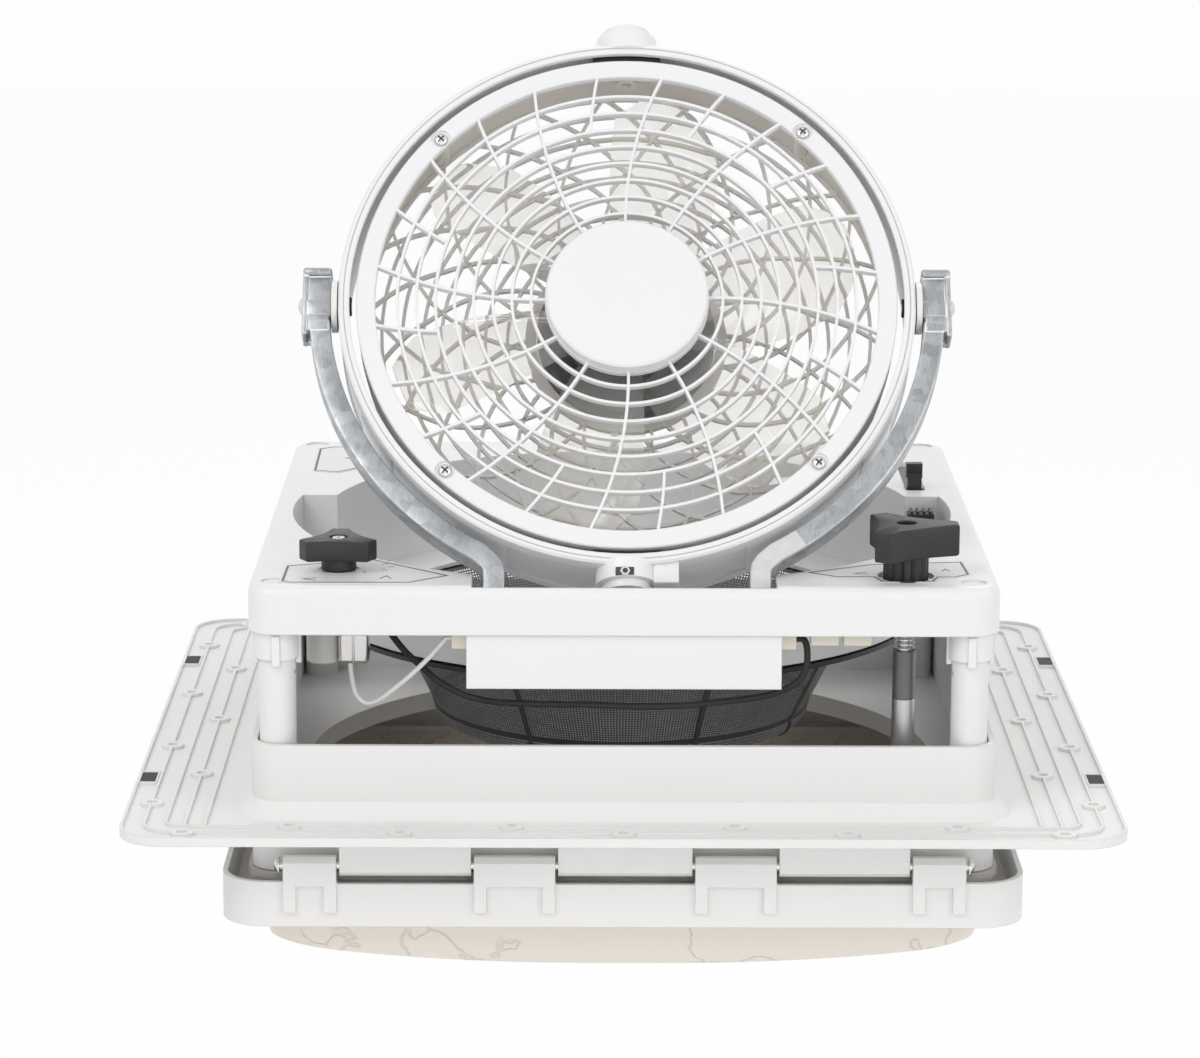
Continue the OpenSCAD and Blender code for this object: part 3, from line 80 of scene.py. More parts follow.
camera_data = bpy.data.cameras.new("camera")
camera_data.sensor_width = SENSOR_WIDTH
camera_data.lens = LENS_LENGTH
camera_data.shift_y = LENS_SHIFT
camera = bpy.data.objects.new("camera", camera_data)
camera.location = CAMERA_PLACE
camera.rotation_euler = [math.radians(a) for a in CAMERA_TURN]
bpy.context.scene.collection.objects.link(camera)
bpy.context.scene.camera = camera
bpy.context.scene.view_settings.view_transform = "Standard"
print("the camera stands", round(-CAMERA_PLACE[1], 2), "m in front of the fan")

# %% [markdown]
# Every material and every node tree below is written with the same three steps: add nodes,
# give them their plain values, and join their sockets. Three short helpers do that, so
# that each finish reads as a list of what it is made of.

# %% Helpers for node trees
def new_material(name):
    """A new material, with its node tree and its main shader."""
    material = bpy.data.materials.new(name)
    material.use_nodes = True
    tree = material.node_tree
    return material, tree, tree.nodes["Principled BSDF"]


def add_node(tree, kind, values=(), **settings):
    """A node of a kind, with some settings and then some plain values on its inputs."""
    node = tree.nodes.new(kind)
    for label, setting in settings.items():
        setattr(node, label, setting)
    for socket, value in dict(values).items():
        node.inputs[socket].default_value = value
    return node


def wire(tree, *wires):
    """Joins sockets. Each wire is a node, its output, the next node and its input."""
    for source, out_socket, target, in_socket in wires:
        tree.links.new(source.outputs[out_socket], target.inputs[in_socket])


# %% [markdown]
# Every finish gets a little life from one shared node group. It turns two noise patterns
# into a colour that drifts between two close tones, a gloss value and a fine grain.
# Moulded plastic needs only a trace of each, foam and sewn tape much more.

# %% The shared group for drifting tone and grain
PATCH_SCALE, GRAIN_SCALE = 12.0, 600.0


def build_surface_group():
    group = bpy.data.node_groups.new("surface_life", "ShaderNodeTree")
    for label, kind, value in (
            ("Tone A", "NodeSocketColor", (0.9, 0.9, 0.9, 1)),
            ("Tone B", "NodeSocketColor", (0.8, 0.8, 0.8, 1)),
            ("Patch Scale", "NodeSocketFloat", PATCH_SCALE),
            ("Grain Scale", "NodeSocketFloat", GRAIN_SCALE)):
        socket = group.interface.new_socket(label, in_out="INPUT", socket_type=kind)
        socket.default_value = value
    for label, kind in (("Color", "NodeSocketColor"), ("Gloss", "NodeSocketFloat"),
                        ("Grain", "NodeSocketFloat")):
        group.interface.new_socket(label, in_out="OUTPUT", socket_type=kind)
    start, end = group.nodes.new("NodeGroupInput"), group.nodes.new("NodeGroupOutput")
    place = add_node(group, "ShaderNodeTexCoord")
    patches = add_node(group, "ShaderNodeTexNoise", {"Detail": 3})
    grain = add_node(group, "ShaderNodeTexNoise", {"Detail": 1})
    mix = add_node(group, "ShaderNodeMix", data_type="RGBA")
    wire(group,
         (place, "Object", patches, "Vector"), (start, "Patch Scale", patches, "Scale"),
         (place, "Object", grain, "Vector"), (start, "Grain Scale", grain, "Scale"),
         (patches, "Fac", mix, "Factor"),
         (start, "Tone A", mix, "A"), (start, "Tone B", mix, "B"),
         (mix, "Result", end, "Color"), (patches, "Fac", end, "Gloss"),
         (grain, "Fac", end, "Grain"))
    return group


SURFACE_LIFE = build_surface_group()


def add_life(tree, tone_a, tone_b, patch=PATCH_SCALE, grain=GRAIN_SCALE):
    """The shared group inside one material, with that material's own values."""
    values = {"Tone A": (*tone_a, 1), "Tone B": (*tone_b, 1), "Patch Scale": patch,
              "Grain Scale": grain}
    return add_node(tree, "ShaderNodeGroup", values, node_tree=SURFACE_LIFE)


# %% [markdown]
# Most pieces differ only in tone, gloss, grain and how soft their edges are. One function
# makes all those finishes. Its Bevel node rounds the edges in the shading alone, which
# leaves the CAD meshes untouched.

# %% The function for a plain finish
EDGE_SAMPLES = 4


def finish(name, tone_a, tone_b, rough=(0.35, 0.45), metallic=0.0, patch=PATCH_SCALE,
           grain=GRAIN_SCALE, bump=0.02, bump_size=0.0002, edge=0.0006):
    """One material: drifting tone, drifting gloss, fine grain and softened edges."""
    material, tree, shader = new_material(name)
    shader.inputs["Metallic"].default_value = metallic
    life = add_life(tree, tone_a, tone_b, patch, grain)
    spread = add_node(tree, "ShaderNodeMapRange", {"To Min": rough[0], "To Max": rough[1]})
    relief = add_node(tree, "ShaderNodeBump", {"Strength": bump, "Distance": bump_size})
    wire(tree,
         (life, "Color", shader, "Base Color"), (life, "Gloss", spread, "Value"),
         (spread, "Result", shader, "Roughness"), (life, "Grain", relief, "Height"),
         (relief, "Normal", shader, "Normal"))
    if edge:
        soft_edge = add_node(tree, "ShaderNodeBevel", {"Radius": edge}, samples=EDGE_SAMPLES)
        wire(tree, (soft_edge, "Normal", relief, "Normal"))
    return material


# %% [markdown]
# The photograph shows five families of finish: cool white moulded plastic, the lid's warm
# cream plastic, satin black plastic, galvanised and plated metal, and rubber and foam.

# %% Finishes
WHITE = finish("white_moulding", (0.83, 0.822, 0.81), (0.79, 0.782, 0.77), rough=(0.34, 0.46))
TRAY_WHITE = finish("tray_white", (0.83, 0.832, 0.836), (0.80, 0.802, 0.806),
                    rough=(0.28, 0.38), edge=0.001)
GRILLE_WHITE = finish("grille_white", (0.85, 0.852, 0.862), (0.82, 0.822, 0.832),
                      rough=(0.28, 0.36), edge=0.00015)
INNER_CREAM = finish("inner_cream", (0.80, 0.76, 0.70), (0.75, 0.71, 0.65),
                     rough=(0.42, 0.52), edge=0.0004)
# The rear basket is white plastic drawn a warm grey, which is painted shade behind the blades.
REAR_PAINTED_SHADE = finish("rear_basket_painted_shade", (0.80, 0.775, 0.745), (0.72, 0.695, 0.665),
                   rough=(0.42, 0.52), edge=0)
BLACK = finish("satin_black", (0.014, 0.014, 0.015), (0.022, 0.022, 0.023),
               rough=(0.36, 0.5), grain=900, bump=0.08)
RUBBER = finish("black_rubber", (0.012, 0.012, 0.012), (0.02, 0.02, 0.02), rough=(0.6, 0.75))
FOAM = finish("seal_foam", (0.56, 0.54, 0.51), (0.62, 0.60, 0.57), rough=(0.85, 0.95),
              grain=1400, bump=0.5, bump_size=0.0006)
PLATED = finish("plated_steel", (0.62, 0.61, 0.60), (0.80, 0.79, 0.78), rough=(0.14, 0.26),
                metallic=1.0, patch=60, edge=0.0003)
ZINC = finish("dull_zinc", (0.46, 0.47, 0.48), (0.62, 0.63, 0.64), rough=(0.3, 0.46),
              metallic=1.0, patch=70, edge=0.0003)
DARK_METAL = finish("dark_metal", (0.09, 0.09, 0.093), (0.20, 0.20, 0.203),
                    rough=(0.28, 0.4), metallic=0.5)
BOARD = finish("circuit_board", (0.02, 0.09, 0.045), (0.03, 0.12, 0.06), rough=(0.3, 0.4))
CONNECTOR = finish("connector_cream", (0.80, 0.76, 0.64), (0.74, 0.70, 0.58),
                   rough=(0.4, 0.5), edge=0.0003)
CABLE_WHITE = finish("wire_white", (0.82, 0.82, 0.81), (0.76, 0.76, 0.75), rough=(0.4, 0.5),
                     edge=0)
print("made", len(bpy.data.materials), "materials so far")

# %% [markdown]
# The yoke is galvanised. Zinc freezes into crystals, each with its own tone, and handling
# leaves fine scratches. Cells of a Voronoi pattern are the crystals, and noise that is
# drawn out along the yoke makes the scratches. A second noise marks where it has dulled,
# and the edges, found where the bevelled normal leaves the true one, get a painted highlight.

# %% Galvanised metal
CRYSTAL_SCALE, SCRATCH_SCALES, CLOUD_SCALE = 170, (1600, 220, 220), 32
CRYSTAL_DARK, CRYSTAL_PALE = (0.21, 0.225, 0.24, 1), (0.45, 0.465, 0.48, 1)
# The second pair is a dulled tone, and a pale tone that is a painted highlight on the edges.
DULL_TONE, EDGE_HIGHLIGHT_TONE = (0.20, 0.21, 0.22, 1), (0.90, 0.91, 0.92, 1)
EDGE_BEVEL_RADIUS = 0.0011


def build_galvanised():
    material, tree, shader = new_material("galvanised_metal")
    shader.inputs["Metallic"].default_value = 0.85
    place = add_node(tree, "ShaderNodeTexCoord")
    crystals = add_node(tree, "ShaderNodeTexVoronoi", {"Scale": CRYSTAL_SCALE})
    crystal = add_node(tree, "ShaderNodeSeparateColor")
    stretch = add_node(tree, "ShaderNodeMapping", {"Scale": SCRATCH_SCALES})
    scratches = add_node(tree, "ShaderNodeTexNoise", {"Scale": 1.0, "Detail": 3})
    clouds = add_node(tree, "ShaderNodeTexNoise", {"Scale": CLOUD_SCALE, "Detail": 4})
    both = add_node(tree, "ShaderNodeMath", {1: 0.5}, operation="MULTIPLY_ADD")
    tone = add_node(tree, "ShaderNodeMix", {"A": CRYSTAL_DARK, "B": CRYSTAL_PALE},
                    data_type="RGBA")
    dull = add_node(tree, "ShaderNodeMapRange",
                    {"From Min": 0.54, "From Max": 0.72, "To Max": 0.55})
    worn = add_node(tree, "ShaderNodeMix", {"B": DULL_TONE}, data_type="RGBA")
    wire(tree,
         (place, "Object", crystals, "Vector"), (place, "Object", clouds, "Vector"),
         (place, "Object", stretch, "Vector"), (stretch, "Vector", scratches, "Vector"),
         (crystals, "Color", crystal, "Color"), (crystal, "Red", both, 0),
         (scratches, "Fac", both, 2), (both, 0, tone, "Factor"),
         (clouds, "Fac", dull, "Value"), (dull, "Result", worn, "Factor"),
         (tone, "Result", worn, "A"))

    soft_edge = add_node(tree, "ShaderNodeBevel", {"Radius": EDGE_BEVEL_RADIUS},
                         samples=EDGE_SAMPLES)
    shape = add_node(tree, "ShaderNodeNewGeometry")
    turn = add_node(tree, "ShaderNodeVectorMath", operation="DOT_PRODUCT")
    # Where the bevelled normal turns from the true one, the pale tone is mixed in: a painted
    # highlight on every edge.
    highlight_mask = add_node(tree, "ShaderNodeMapRange", {"From Min": 0.995, "From Max": 0.93})
    highlit_edges = add_node(tree, "ShaderNodeMix", {"B": EDGE_HIGHLIGHT_TONE}, data_type="RGBA")
    wire(tree,
         (soft_edge, "Normal", turn, 0), (shape, "Normal", turn, 1),
         (turn, "Value", highlight_mask, "Value"), (highlight_mask, "Result", highlit_edges, "Factor"),
         (worn, "Result", highlit_edges, "A"), (highlit_edges, "Result", shader, "Base Color"))

    rough = add_node(tree, "ShaderNodeMapRange", {"To Min": 0.30, "To Max": 0.50})
    relief = add_node(tree, "ShaderNodeBump", {"Strength": 0.12, "Distance": 0.0003})
    wire(tree,
         (crystal, "Green", rough, "Value"), (rough, "Result", shader, "Roughness"),
         (scratches, "Fac", relief, "Height"), (soft_edge, "Normal", relief, "Normal"),
         (relief, "Normal", shader, "Normal"))
    return material


GALVANISED = build_galvanised()
print("the zinc crystals are about", round(1 / (CRYSTAL_SCALE * MM)), "mm wide")

# %% [markdown]
# A solid whose shape is right only needs its finish. Its mesh is never touched. Solids that
# a finer piece stands for further down get a finish too, close to that piece's. The labels
# and the lid's dome get theirs where those finishes are made.

# %% Finishes on the solids
def dress(node_name, material):
    """Gives a solid of the frame its one material."""
    slots = nodes[node_name].data.materials
    slots.clear()
    slots.append(material)


SOLIDS_BY_FINISH = (
    (WHITE, ("roof_flange_base", "lid_frame", "tilt_washers", "fan_blades")),
    (TRAY_WHITE, ("trim_tray", "yoke_hinge_box")),
    (GRILLE_WHITE, ("gimbal_ring", "front_grille", "hub_cap")),
    (INNER_CREAM, ("fan_housing",)),
    (REAR_PAINTED_SHADE, ("rear_grille",)),
    (BLACK, ("screen_retainer", "tilt_pivot_nuts", "mode_lever", "stow_latch", "speed_knob",
             "lift_knob")),
    (RUBBER, ("flange_pads", "swivel_bushes", "insect_screen", "motor_cable")),
    (FOAM, ("lid_seal",)),
    (PLATED, ("hinge_pin", "lift_pin", "lift_screw", "speed_switch_shaft",
              "speed_knob_screw", "yoke_hinge_shaft", "tilt_pivot_screws",
              "swivel_pivot_screws", "motor_screws", "motor_shaft", "blade_nut",
              "grille_screws")),
    (ZINC, ("lift_guide", "lift_rod", "lid_bracket", "lift_tube", "speed_switch_body")),
    (DARK_METAL, ("lift_sleeve", "motor_can", "motor_end_cap")),
    (BOARD, ("circuit_board",)),
    (CONNECTOR, ("board_connectors",)),
    (GALVANISED, ("yoke_arm_left", "yoke_arm_right")),
    (CABLE_WHITE, ("switch_wire",)),
)
for material, node_names in SOLIDS_BY_FINISH:
    for node_name in node_names:
        dress(node_name, material)
    print(len(node_names), "solids in", material.name)

# %% [markdown]
# The pieces below are drawn as lists of points and faces, in millimetres. These helpers
# turn such lists into an object in its place, give it its finish and let it ride on the
# right body.

# %% Helpers that make a piece
MERGE_DISTANCE = 0.01 * MM


def make_piece(name, points, faces, material, body, slot, place=UPRIGHT, smooth=True,
               replaces=(), auto=40):
    """A mesh piece from points in millimetres, closed and with its faces outwards."""
    mesh = bpy.data.meshes.new(name)
    mesh.from_pydata([place @ Vector(p) for p in points], [], faces)
    shape = bmesh.new()
    shape.from_mesh(mesh)
    bmesh.ops.remove_doubles(shape, verts=shape.verts, dist=MERGE_DISTANCE)
    bmesh.ops.recalc_face_normals(shape, faces=shape.faces)
    shape.to_mesh(mesh)
    shape.free()
    return settle(name, mesh, material, body, smooth, replaces, auto)


def settle(name, mesh, material, body, smooth=True, replaces=(), auto=40):
    """Links a finished mesh as a piece that rides on a body and stands for some solids."""
    if material:
        mesh.materials.clear()
        mesh.materials.append(material)
    if smooth:
        mesh.shade_smooth()
        if auto:
            mesh.set_sharp_from_angle(angle=math.radians(auto))
    thing = bpy.data.objects.new(name, mesh)
    bpy.context.scene.collection.objects.link(thing)
    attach(thing, body)
    if replaces:
        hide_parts(*replaces)
    return thing


# %% [markdown]
# Most shapes here are a skin over rings of points: the sections of a bar, the levels of a
# knob or the turns of a profile. Simple parts are joined into one list of points and faces
# before they become a mesh, so that a piece stays one object.

# %% Helpers for points and faces
def loft(rings, closed_loop=False):
    """A closed skin over rings that all have the same number of points.

    The first and last ring are filled, or else the last is joined to the first.
    """
    count = len(rings[0])
    points = [p for ring in rings for p in ring]
    faces = []
    last = len(rings) if closed_loop else len(rings) - 1
    for i in range(last):
        a, b = i * count, ((i + 1) % len(rings)) * count
        for k in range(count):
            n = (k + 1) % count
            faces.append((a + k, a + n, b + n, b + k))
    if not closed_loop:
        faces.append(tuple(range(count))[::-1])
        faces.append(tuple((len(rings) - 1) * count + k for k in range(count)))
    return points, faces


def turned(profile, steps, centre=(0, 0)):
    """Points and faces of a profile of (radius, height) turned about an upright axis."""
    rings = []
    for i in range(steps):
        a = 2 * math.pi * i / steps
        c, s = math.cos(a), math.sin(a)
        rings.append([(centre[0] + r * c, centre[1] + r * s, z) for r, z in profile])
    return loft(rings, closed_loop=True)


def merge_parts(parts):
    """Joins several (points, faces) lists into one."""
    points, faces = [], []
    for some_points, some_faces in parts:
        base = len(points)
        points += [tuple(p) for p in some_points]
        faces += [tuple(base + i for i in face) for face in some_faces]
    return points, faces


def moved(parts, offset):
    """The same points and faces, shifted."""
    points, faces = parts
    return [tuple(Vector(p) + Vector(offset)) for p in points], faces


def box_between(low, high):
    """A plain block between two corners."""
    (x0, y0, z0), (x1, y1, z1) = low, high
    points = [(x, y, z) for z in (z0, z1) for x, y in ((x0, y0), (x1, y0), (x1, y1), (x0, y1))]
    faces = [(3, 2, 1, 0), (4, 5, 6, 7), (0, 1, 5, 4), (1, 2, 6, 5), (2, 3, 7, 6), (3, 0, 4, 7)]
    return points, faces


# %% [markdown]
# Blades, spokes and screws repeat round an axis. One Geometry Nodes tree makes every such
# set: it puts copies of a piece on one spot, turns each a step further, makes them real
# meshes and gives them their finish. Its sizes are named inputs, set by each socket's
# identifier.

# %% Turned copies by Geometry Nodes
def turned_copies_tree():
    tree = bpy.data.node_groups.new("turned_copies", "GeometryNodeTree")
    new_socket = tree.interface.new_socket
    new_socket("Geometry", in_out="OUTPUT", socket_type="NodeSocketGeometry")
    names = {}
    for label, kind in (("Copies", "NodeSocketInt"), ("Step", "NodeSocketFloat"),
                        ("First Turn", "NodeSocketFloat"), ("Piece", "NodeSocketObject"),
                        ("Finish", "NodeSocketMaterial")):
        names[label] = new_socket(label, in_out="INPUT", socket_type=kind).identifier
    start, end = add_node(tree, "NodeGroupInput"), add_node(tree, "NodeGroupOutput")
    spots = add_node(tree, "GeometryNodeMeshLine", {"Offset": (0, 0, 0)})
    piece = add_node(tree, "GeometryNodeObjectInfo")
    copies = add_node(tree, "GeometryNodeInstanceOnPoints")
    index = add_node(tree, "GeometryNodeInputIndex")
    angle = add_node(tree, "ShaderNodeMath", operation="MULTIPLY_ADD")
    turn = add_node(tree, "ShaderNodeCombineXYZ")
    real = add_node(tree, "GeometryNodeRealizeInstances")
    dressed = add_node(tree, "GeometryNodeSetMaterial")
    wire(tree,
         (start, "Copies", spots, "Count"), (start, "Piece", piece, "Object"),
         (index, "Index", angle, 0), (start, "Step", angle, 1),
         (start, "First Turn", angle, 2), (angle, 0, turn, "Z"),
         (spots, "Mesh", copies, "Points"), (piece, "Geometry", copies, "Instance"),
         (turn, "Vector", copies, "Rotation"), (copies, "Instances", real, "Geometry"),
         (real, "Geometry", dressed, "Geometry"), (start, "Finish", dressed, "Material"),
         (dressed, "Geometry", end, "Geometry"))
    return tree, names


TURNED_COPIES, COPY_INPUTS = turned_copies_tree()


def turned_copies(name, parts, copies, material, first):
    """A plain mesh of copies of one piece of the head, each turned a step about its axis."""
    mesh = bpy.data.meshes.new(name + "_one")
    points, faces = parts
    mesh.from_pydata([Vector(p) for p in points], [], faces)
    one = bpy.data.objects.new(name + "_one", mesh)
    carrier_mesh = bpy.data.meshes.new(name + "_carrier")
    carrier = bpy.data.objects.new(name + "_carrier", carrier_mesh)
    for thing in (one, carrier):
        bpy.context.scene.collection.objects.link(thing)
    modifier = carrier.modifiers.new("copies", "NODES")
    modifier.node_group = TURNED_COPIES
    for label, value in (("Copies", copies), ("Step", 2 * math.pi / copies),
                         ("First Turn", math.radians(first)), ("Piece", one),
                         ("Finish", material)):
        modifier[COPY_INPUTS[label]] = value
    shown = carrier.evaluated_get(bpy.context.evaluated_depsgraph_get())
    whole = bpy.data.meshes.new_from_object(shown)
    whole.name = name
    bpy.data.objects.remove(carrier)
    bpy.data.objects.remove(one)
    whole.transform(HEAD)
    shape = bmesh.new()
    shape.from_mesh(whole)
    bmesh.ops.recalc_face_normals(shape, faces=shape.faces)
    shape.to_mesh(whole)
    shape.free()
    print(name, "has", len(whole.polygons), "faces in", copies, "copies")
    return whole


# %% [markdown]
# Two leads hang under the tray: the black motor cable and a thin white wire from the
# switch. Each is a soft round line between two housings, so each one is a curve with a
# round section, along the same route as in the CAD model.

# %% The two leads
CABLE_RADIUS, WIRE_RADIUS = 1.6, 1.2
CABLE_ROUTE = [(-121.4, -141, 88), (-118.2, -141, 88), (-115.4, -141.4, 86.4),
               (-112.4, -142.6, 81), (-105, -147, 72.5), (-97, -151, 66), (-88, -156, 59.5),
               (-76, -160, 54), (-62, -163, 51.5), (-42, -165, 51), (-20, -166, 51),
               (4, -167, 50.5), (26, -168, 51), (46, -168, 53), (64, -168, 55.5),
               (74, -167, 58), (82, -166, 62), (86, -166, 67.5), (87, -166, 73),
               (87, -166, 77.4), (86.4, -166, 81), (84.7, -166, 83.5), (81.52, -166, 83.5)]
WIRE_ROUTE = [(-131, -143, 65.96), (-131, -143, 63.2), (-130.6, -143.8, 60),
              (-129.8, -145.6, 55.6), (-128.4, -147.3, 51.4), (-126.2, -148.6, 48.6),
              (-123.6, -149.6, 47.2), (-120.8, -150.7, 47.3), (-117.6, -152, 48.9),
              (-113.8, -153.6, 51.9), (-106, -156.8, 59), (-98, -160, 67),
              (-92, -162.8, 73.8), (-88.2, -164.8, 78.6), (-86, -165.7, 81.4),
              (-84.1, -166, 83.5), (-81.52, -166, 83.5)]


def smooth_path(points, per_span):
    """A smooth line through the given points."""
    spots = [Vector(p) for p in points]
    spots = [2 * spots[0] - spots[1]] + spots + [2 * spots[-1] - spots[-2]]
    line = []
    for i in range(1, len(spots) - 2):
        a, b, c, d = spots[i - 1:i + 3]
        for k in range(per_span):
            t = k / per_span
            square, cube = 2 * a - 5 * b + 4 * c - d, 3 * b - a - 3 * c + d
            line.append(0.5 * (2 * b + (c - a) * t + square * t * t + cube * t ** 3))
    return line + [spots[-2]]


def make_lead(name, route, radius, material, node_name):
    """A round lead along a route, which stands for one cord of the frame."""
    line = smooth_path([Vector(p) * MM for p in route], 4)
    data = bpy.data.curves.new(name, "CURVE")
    data.dimensions = "3D"
    spline = data.splines.new("POLY")
    spline.points.add(len(line) - 1)
    for point, spot in zip(spline.points, line):
        point.co = (*spot, 1)
    data.bevel_depth = radius * MM
    data.bevel_resolution = 3
    data.use_fill_caps = True
    data.materials.append(material)
    lead = bpy.data.objects.new(name, data)
    bpy.context.scene.collection.objects.link(lead)
    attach(lead, "base")
    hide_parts(node_name)


make_lead("motor_lead", CABLE_ROUTE, CABLE_RADIUS, RUBBER, "motor_cable")
make_lead("switch_lead", WIRE_ROUTE, WIRE_RADIUS, CABLE_WHITE, "switch_wire")

# %% [markdown]
# The insect screen is a black woven bowl. Its weave is far too fine to model thread by
# thread, so the bowl is one thin sheet with a UV map in thread widths, and the material
# cuts the little windows between the threads with its alpha.

# %% The woven screen's material
THREAD_SHARE = 0.27  # how far a thread reaches from its middle, in thread pitches


def build_weave_material():
    material, tree, shader = new_material("woven_screen")
    shader.inputs["Roughness"].default_value = 0.45
    uv = add_node(tree, "ShaderNodeUVMap", uv_map="weave")
    split = add_node(tree, "ShaderNodeSeparateXYZ")
    across = add_node(tree, "ShaderNodeMath", {1: 0.5}, operation="PINGPONG")
    along = add_node(tree, "ShaderNodeMath", {1: 0.5}, operation="PINGPONG")
    widest = add_node(tree, "ShaderNodeMath", operation="MINIMUM")
    window = add_node(tree, "ShaderNodeMath", {1: THREAD_SHARE}, operation="LESS_THAN")
    # The threads' two tones are lighter than black thread: black cloth with a painted sheen.
    life = add_life(tree, (0.10, 0.10, 0.102), (0.22, 0.22, 0.222))
    relief = add_node(tree, "ShaderNodeBump", {"Strength": 0.6, "Distance": 0.0004})
    wire(tree,
         (uv, "UV", split, "Vector"), (split, "X", across, 0), (split, "Y", along, 0),
         (across, 0, widest, 0), (along, 0, widest, 1), (widest, 0, window, 0),
         (widest, 0, relief, "Height"), (life, "Color", shader, "Base Color"),
         (relief, "Normal", shader, "Normal"), (window, 0, shader, "Alpha"))
    return material


WEAVE = build_weave_material()
print("each thread covers", round(2 * THREAD_SHARE, 2), "of its pitch")

# %% The screen bowl
THREAD_PITCH = 1.5
SCREEN_TOP, SCREEN_FLOOR = 60.6, 2.6
RIM_RADIUS, WALL_TAPER, WALL_DROP = 120.9, 25.0, 49.0
BEND_MIDDLE, BEND_REACH = (88, 11.4), (8.2, 8.6)
WALL_MIDDLE = 105  # the wall's mean radius, which sets the weave's width
FLOOR_LIMIT = (95, 4)  # faces inside this radius and below this height are the floor
RIPPLE_SIZE, RIPPLE_WAVES, RIPPLE_TURN, RIPPLE_SPAN, RIPPLE_FROM = 1.1, 7, 0.8, 50, 90
BOWL_STEPS = 240


def screen_profile():
    """Radius and height down the bowl's side, round its lower hem and in to the middle."""
    line = []
    for k in range(11):
        line.append((RIM_RADIUS - WALL_TAPER * k / 10, SCREEN_TOP - WALL_DROP * k / 10))
    for k in range(1, 8):
        a = math.radians(90 * k / 7)
        line.append((BEND_MIDDLE[0] + BEND_REACH[0] * math.cos(a),
                     BEND_MIDDLE[1] - BEND_REACH[1] * math.sin(a)))
    return line + [(r, SCREEN_FLOOR) for r in (70, 50, 30, 12, 0.6)]


def screen_ripple(angle, height):
    """The cloth bulges a little between its two seams and its upper rim."""
    side = max(0.0, min(1.0, (SCREEN_TOP - height) / RIPPLE_SPAN))
    wave = math.sin(RIPPLE_WAVES * angle + RIPPLE_TURN)
    return RIPPLE_SIZE * math.sin(math.pi * side) * wave * side


def build_screen():
    """The bowl as one sheet, with its weave map, and its length from rim to middle."""
    profile = screen_profile()
    run = [0.0]
    for a, b in zip(profile, profile[1:]):
        run.append(run[-1] + math.hypot(b[0] - a[0], b[1] - a[1]))
    mesh = bpy.data.meshes.new("screen_bowl")
    shape = bmesh.new()
    layer = shape.loops.layers.uv.new("weave")
    grid = []
    for i in range(BOWL_STEPS):
        a = 2 * math.pi * i / BOWL_STEPS
        row = []
        for r, z in profile:
            rr = r + (screen_ripple(a, z) if r > RIPPLE_FROM else 0)
            row.append(shape.verts.new(Vector((rr * math.cos(a), rr * math.sin(a), z)) * MM))
        grid.append(row)
    for i in range(BOWL_STEPS):
        n = (i + 1) % BOWL_STEPS
        for k in range(len(profile) - 1):
            corners = ((i, k), (i, k + 1), (n, k + 1), (n, k))
            face = shape.faces.new([grid[a][b] for a, b in corners])
            face.smooth = True
            on_floor = profile[k][0] < FLOOR_LIMIT[0] and profile[k][1] < FLOOR_LIMIT[1]
            for loop, (a, b) in zip(face.loops, corners):
                step = BOWL_STEPS if (a == 0 and i == BOWL_STEPS - 1) else a
                angle = 2 * math.pi * step / BOWL_STEPS
                if on_floor:
                    spot = (profile[b][0] * math.cos(angle), profile[b][0] * math.sin(angle))
                else:
                    spot = (angle * WALL_MIDDLE, run[b])
                loop[layer].uv = (spot[0] / THREAD_PITCH, spot[1] / THREAD_PITCH)
    bmesh.ops.recalc_face_normals(shape, faces=shape.faces)
    shape.to_mesh(mesh)
    shape.free()
    return mesh, run[-1]


screen_mesh, screen_run = build_screen()
print("the screen is", round(screen_run), "mm from its rim to the middle of its floor")
screen = settle("screen_bowl", screen_mesh, WEAVE, "base",
                replaces=["insect_screen"], auto=0)

# %% [markdown]
# The screen is sewn from a wall in panels and a floor. Each seam is a narrow folded tape
# that follows the cloth, drawn here as a flat band a little proud of it.

# %% Seams and rim of the screen
TAPE = finish("seam_tape", (0.06, 0.06, 0.061), (0.12, 0.12, 0.121), rough=(0.5, 0.65),
              grain=1500, bump=0.4, edge=0)
TAPE_WIDTH, TAPE_THICKNESS = 2.6, 0.7
SEAM_ANGLES = (-118, -68, -28, 22, 72, 122, 172)
HEM_RADIUS, HEM_HEIGHT, HEM_LEAN, HEM_STEPS = 96.2, 12.5, 0.35, 160


def tape_ring(spot, across, out):
    """The four corners of a tape's section."""
    side, rise = across * TAPE_WIDTH / 2, out * TAPE_THICKNESS
    return [spot + side, spot + side + rise, spot - side + rise, spot - side]


def seam_along(name, line, out):
    """A flat tape along a line of the cloth, standing proud of it."""
    out = Vector(out).normalized()
    rings = []
    for i, p in enumerate(line):
        before, after = line[max(i - 1, 0)], line[min(i + 1, len(line) - 1)]
        ahead = (Vector(after) - Vector(before)).normalized()
        rings.append(tape_ring(Vector(p), ahead.cross(out).normalized(), out))
    return make_piece(name, *loft(rings), TAPE, "base", "screen_mesh", smooth=False)


def hem_round(name):
    """A tape that runs once round the bowl's lower bend."""
    rings = []
    for i in range(HEM_STEPS):
        a = 2 * math.pi * i / HEM_STEPS
        c, s = math.cos(a), math.sin(a)
        out = Vector((c, s, -HEM_LEAN)).normalized()
        along_cloth = Vector((c * HEM_LEAN, s * HEM_LEAN, 1)).normalized()
        rings.append(tape_ring(Vector((HEM_RADIUS * c, HEM_RADIUS * s, HEM_HEIGHT)),
                               along_cloth, out))
    return make_piece(name, *loft(rings, closed_loop=True), TAPE, "base", "screen_mesh",
                      smooth=False)


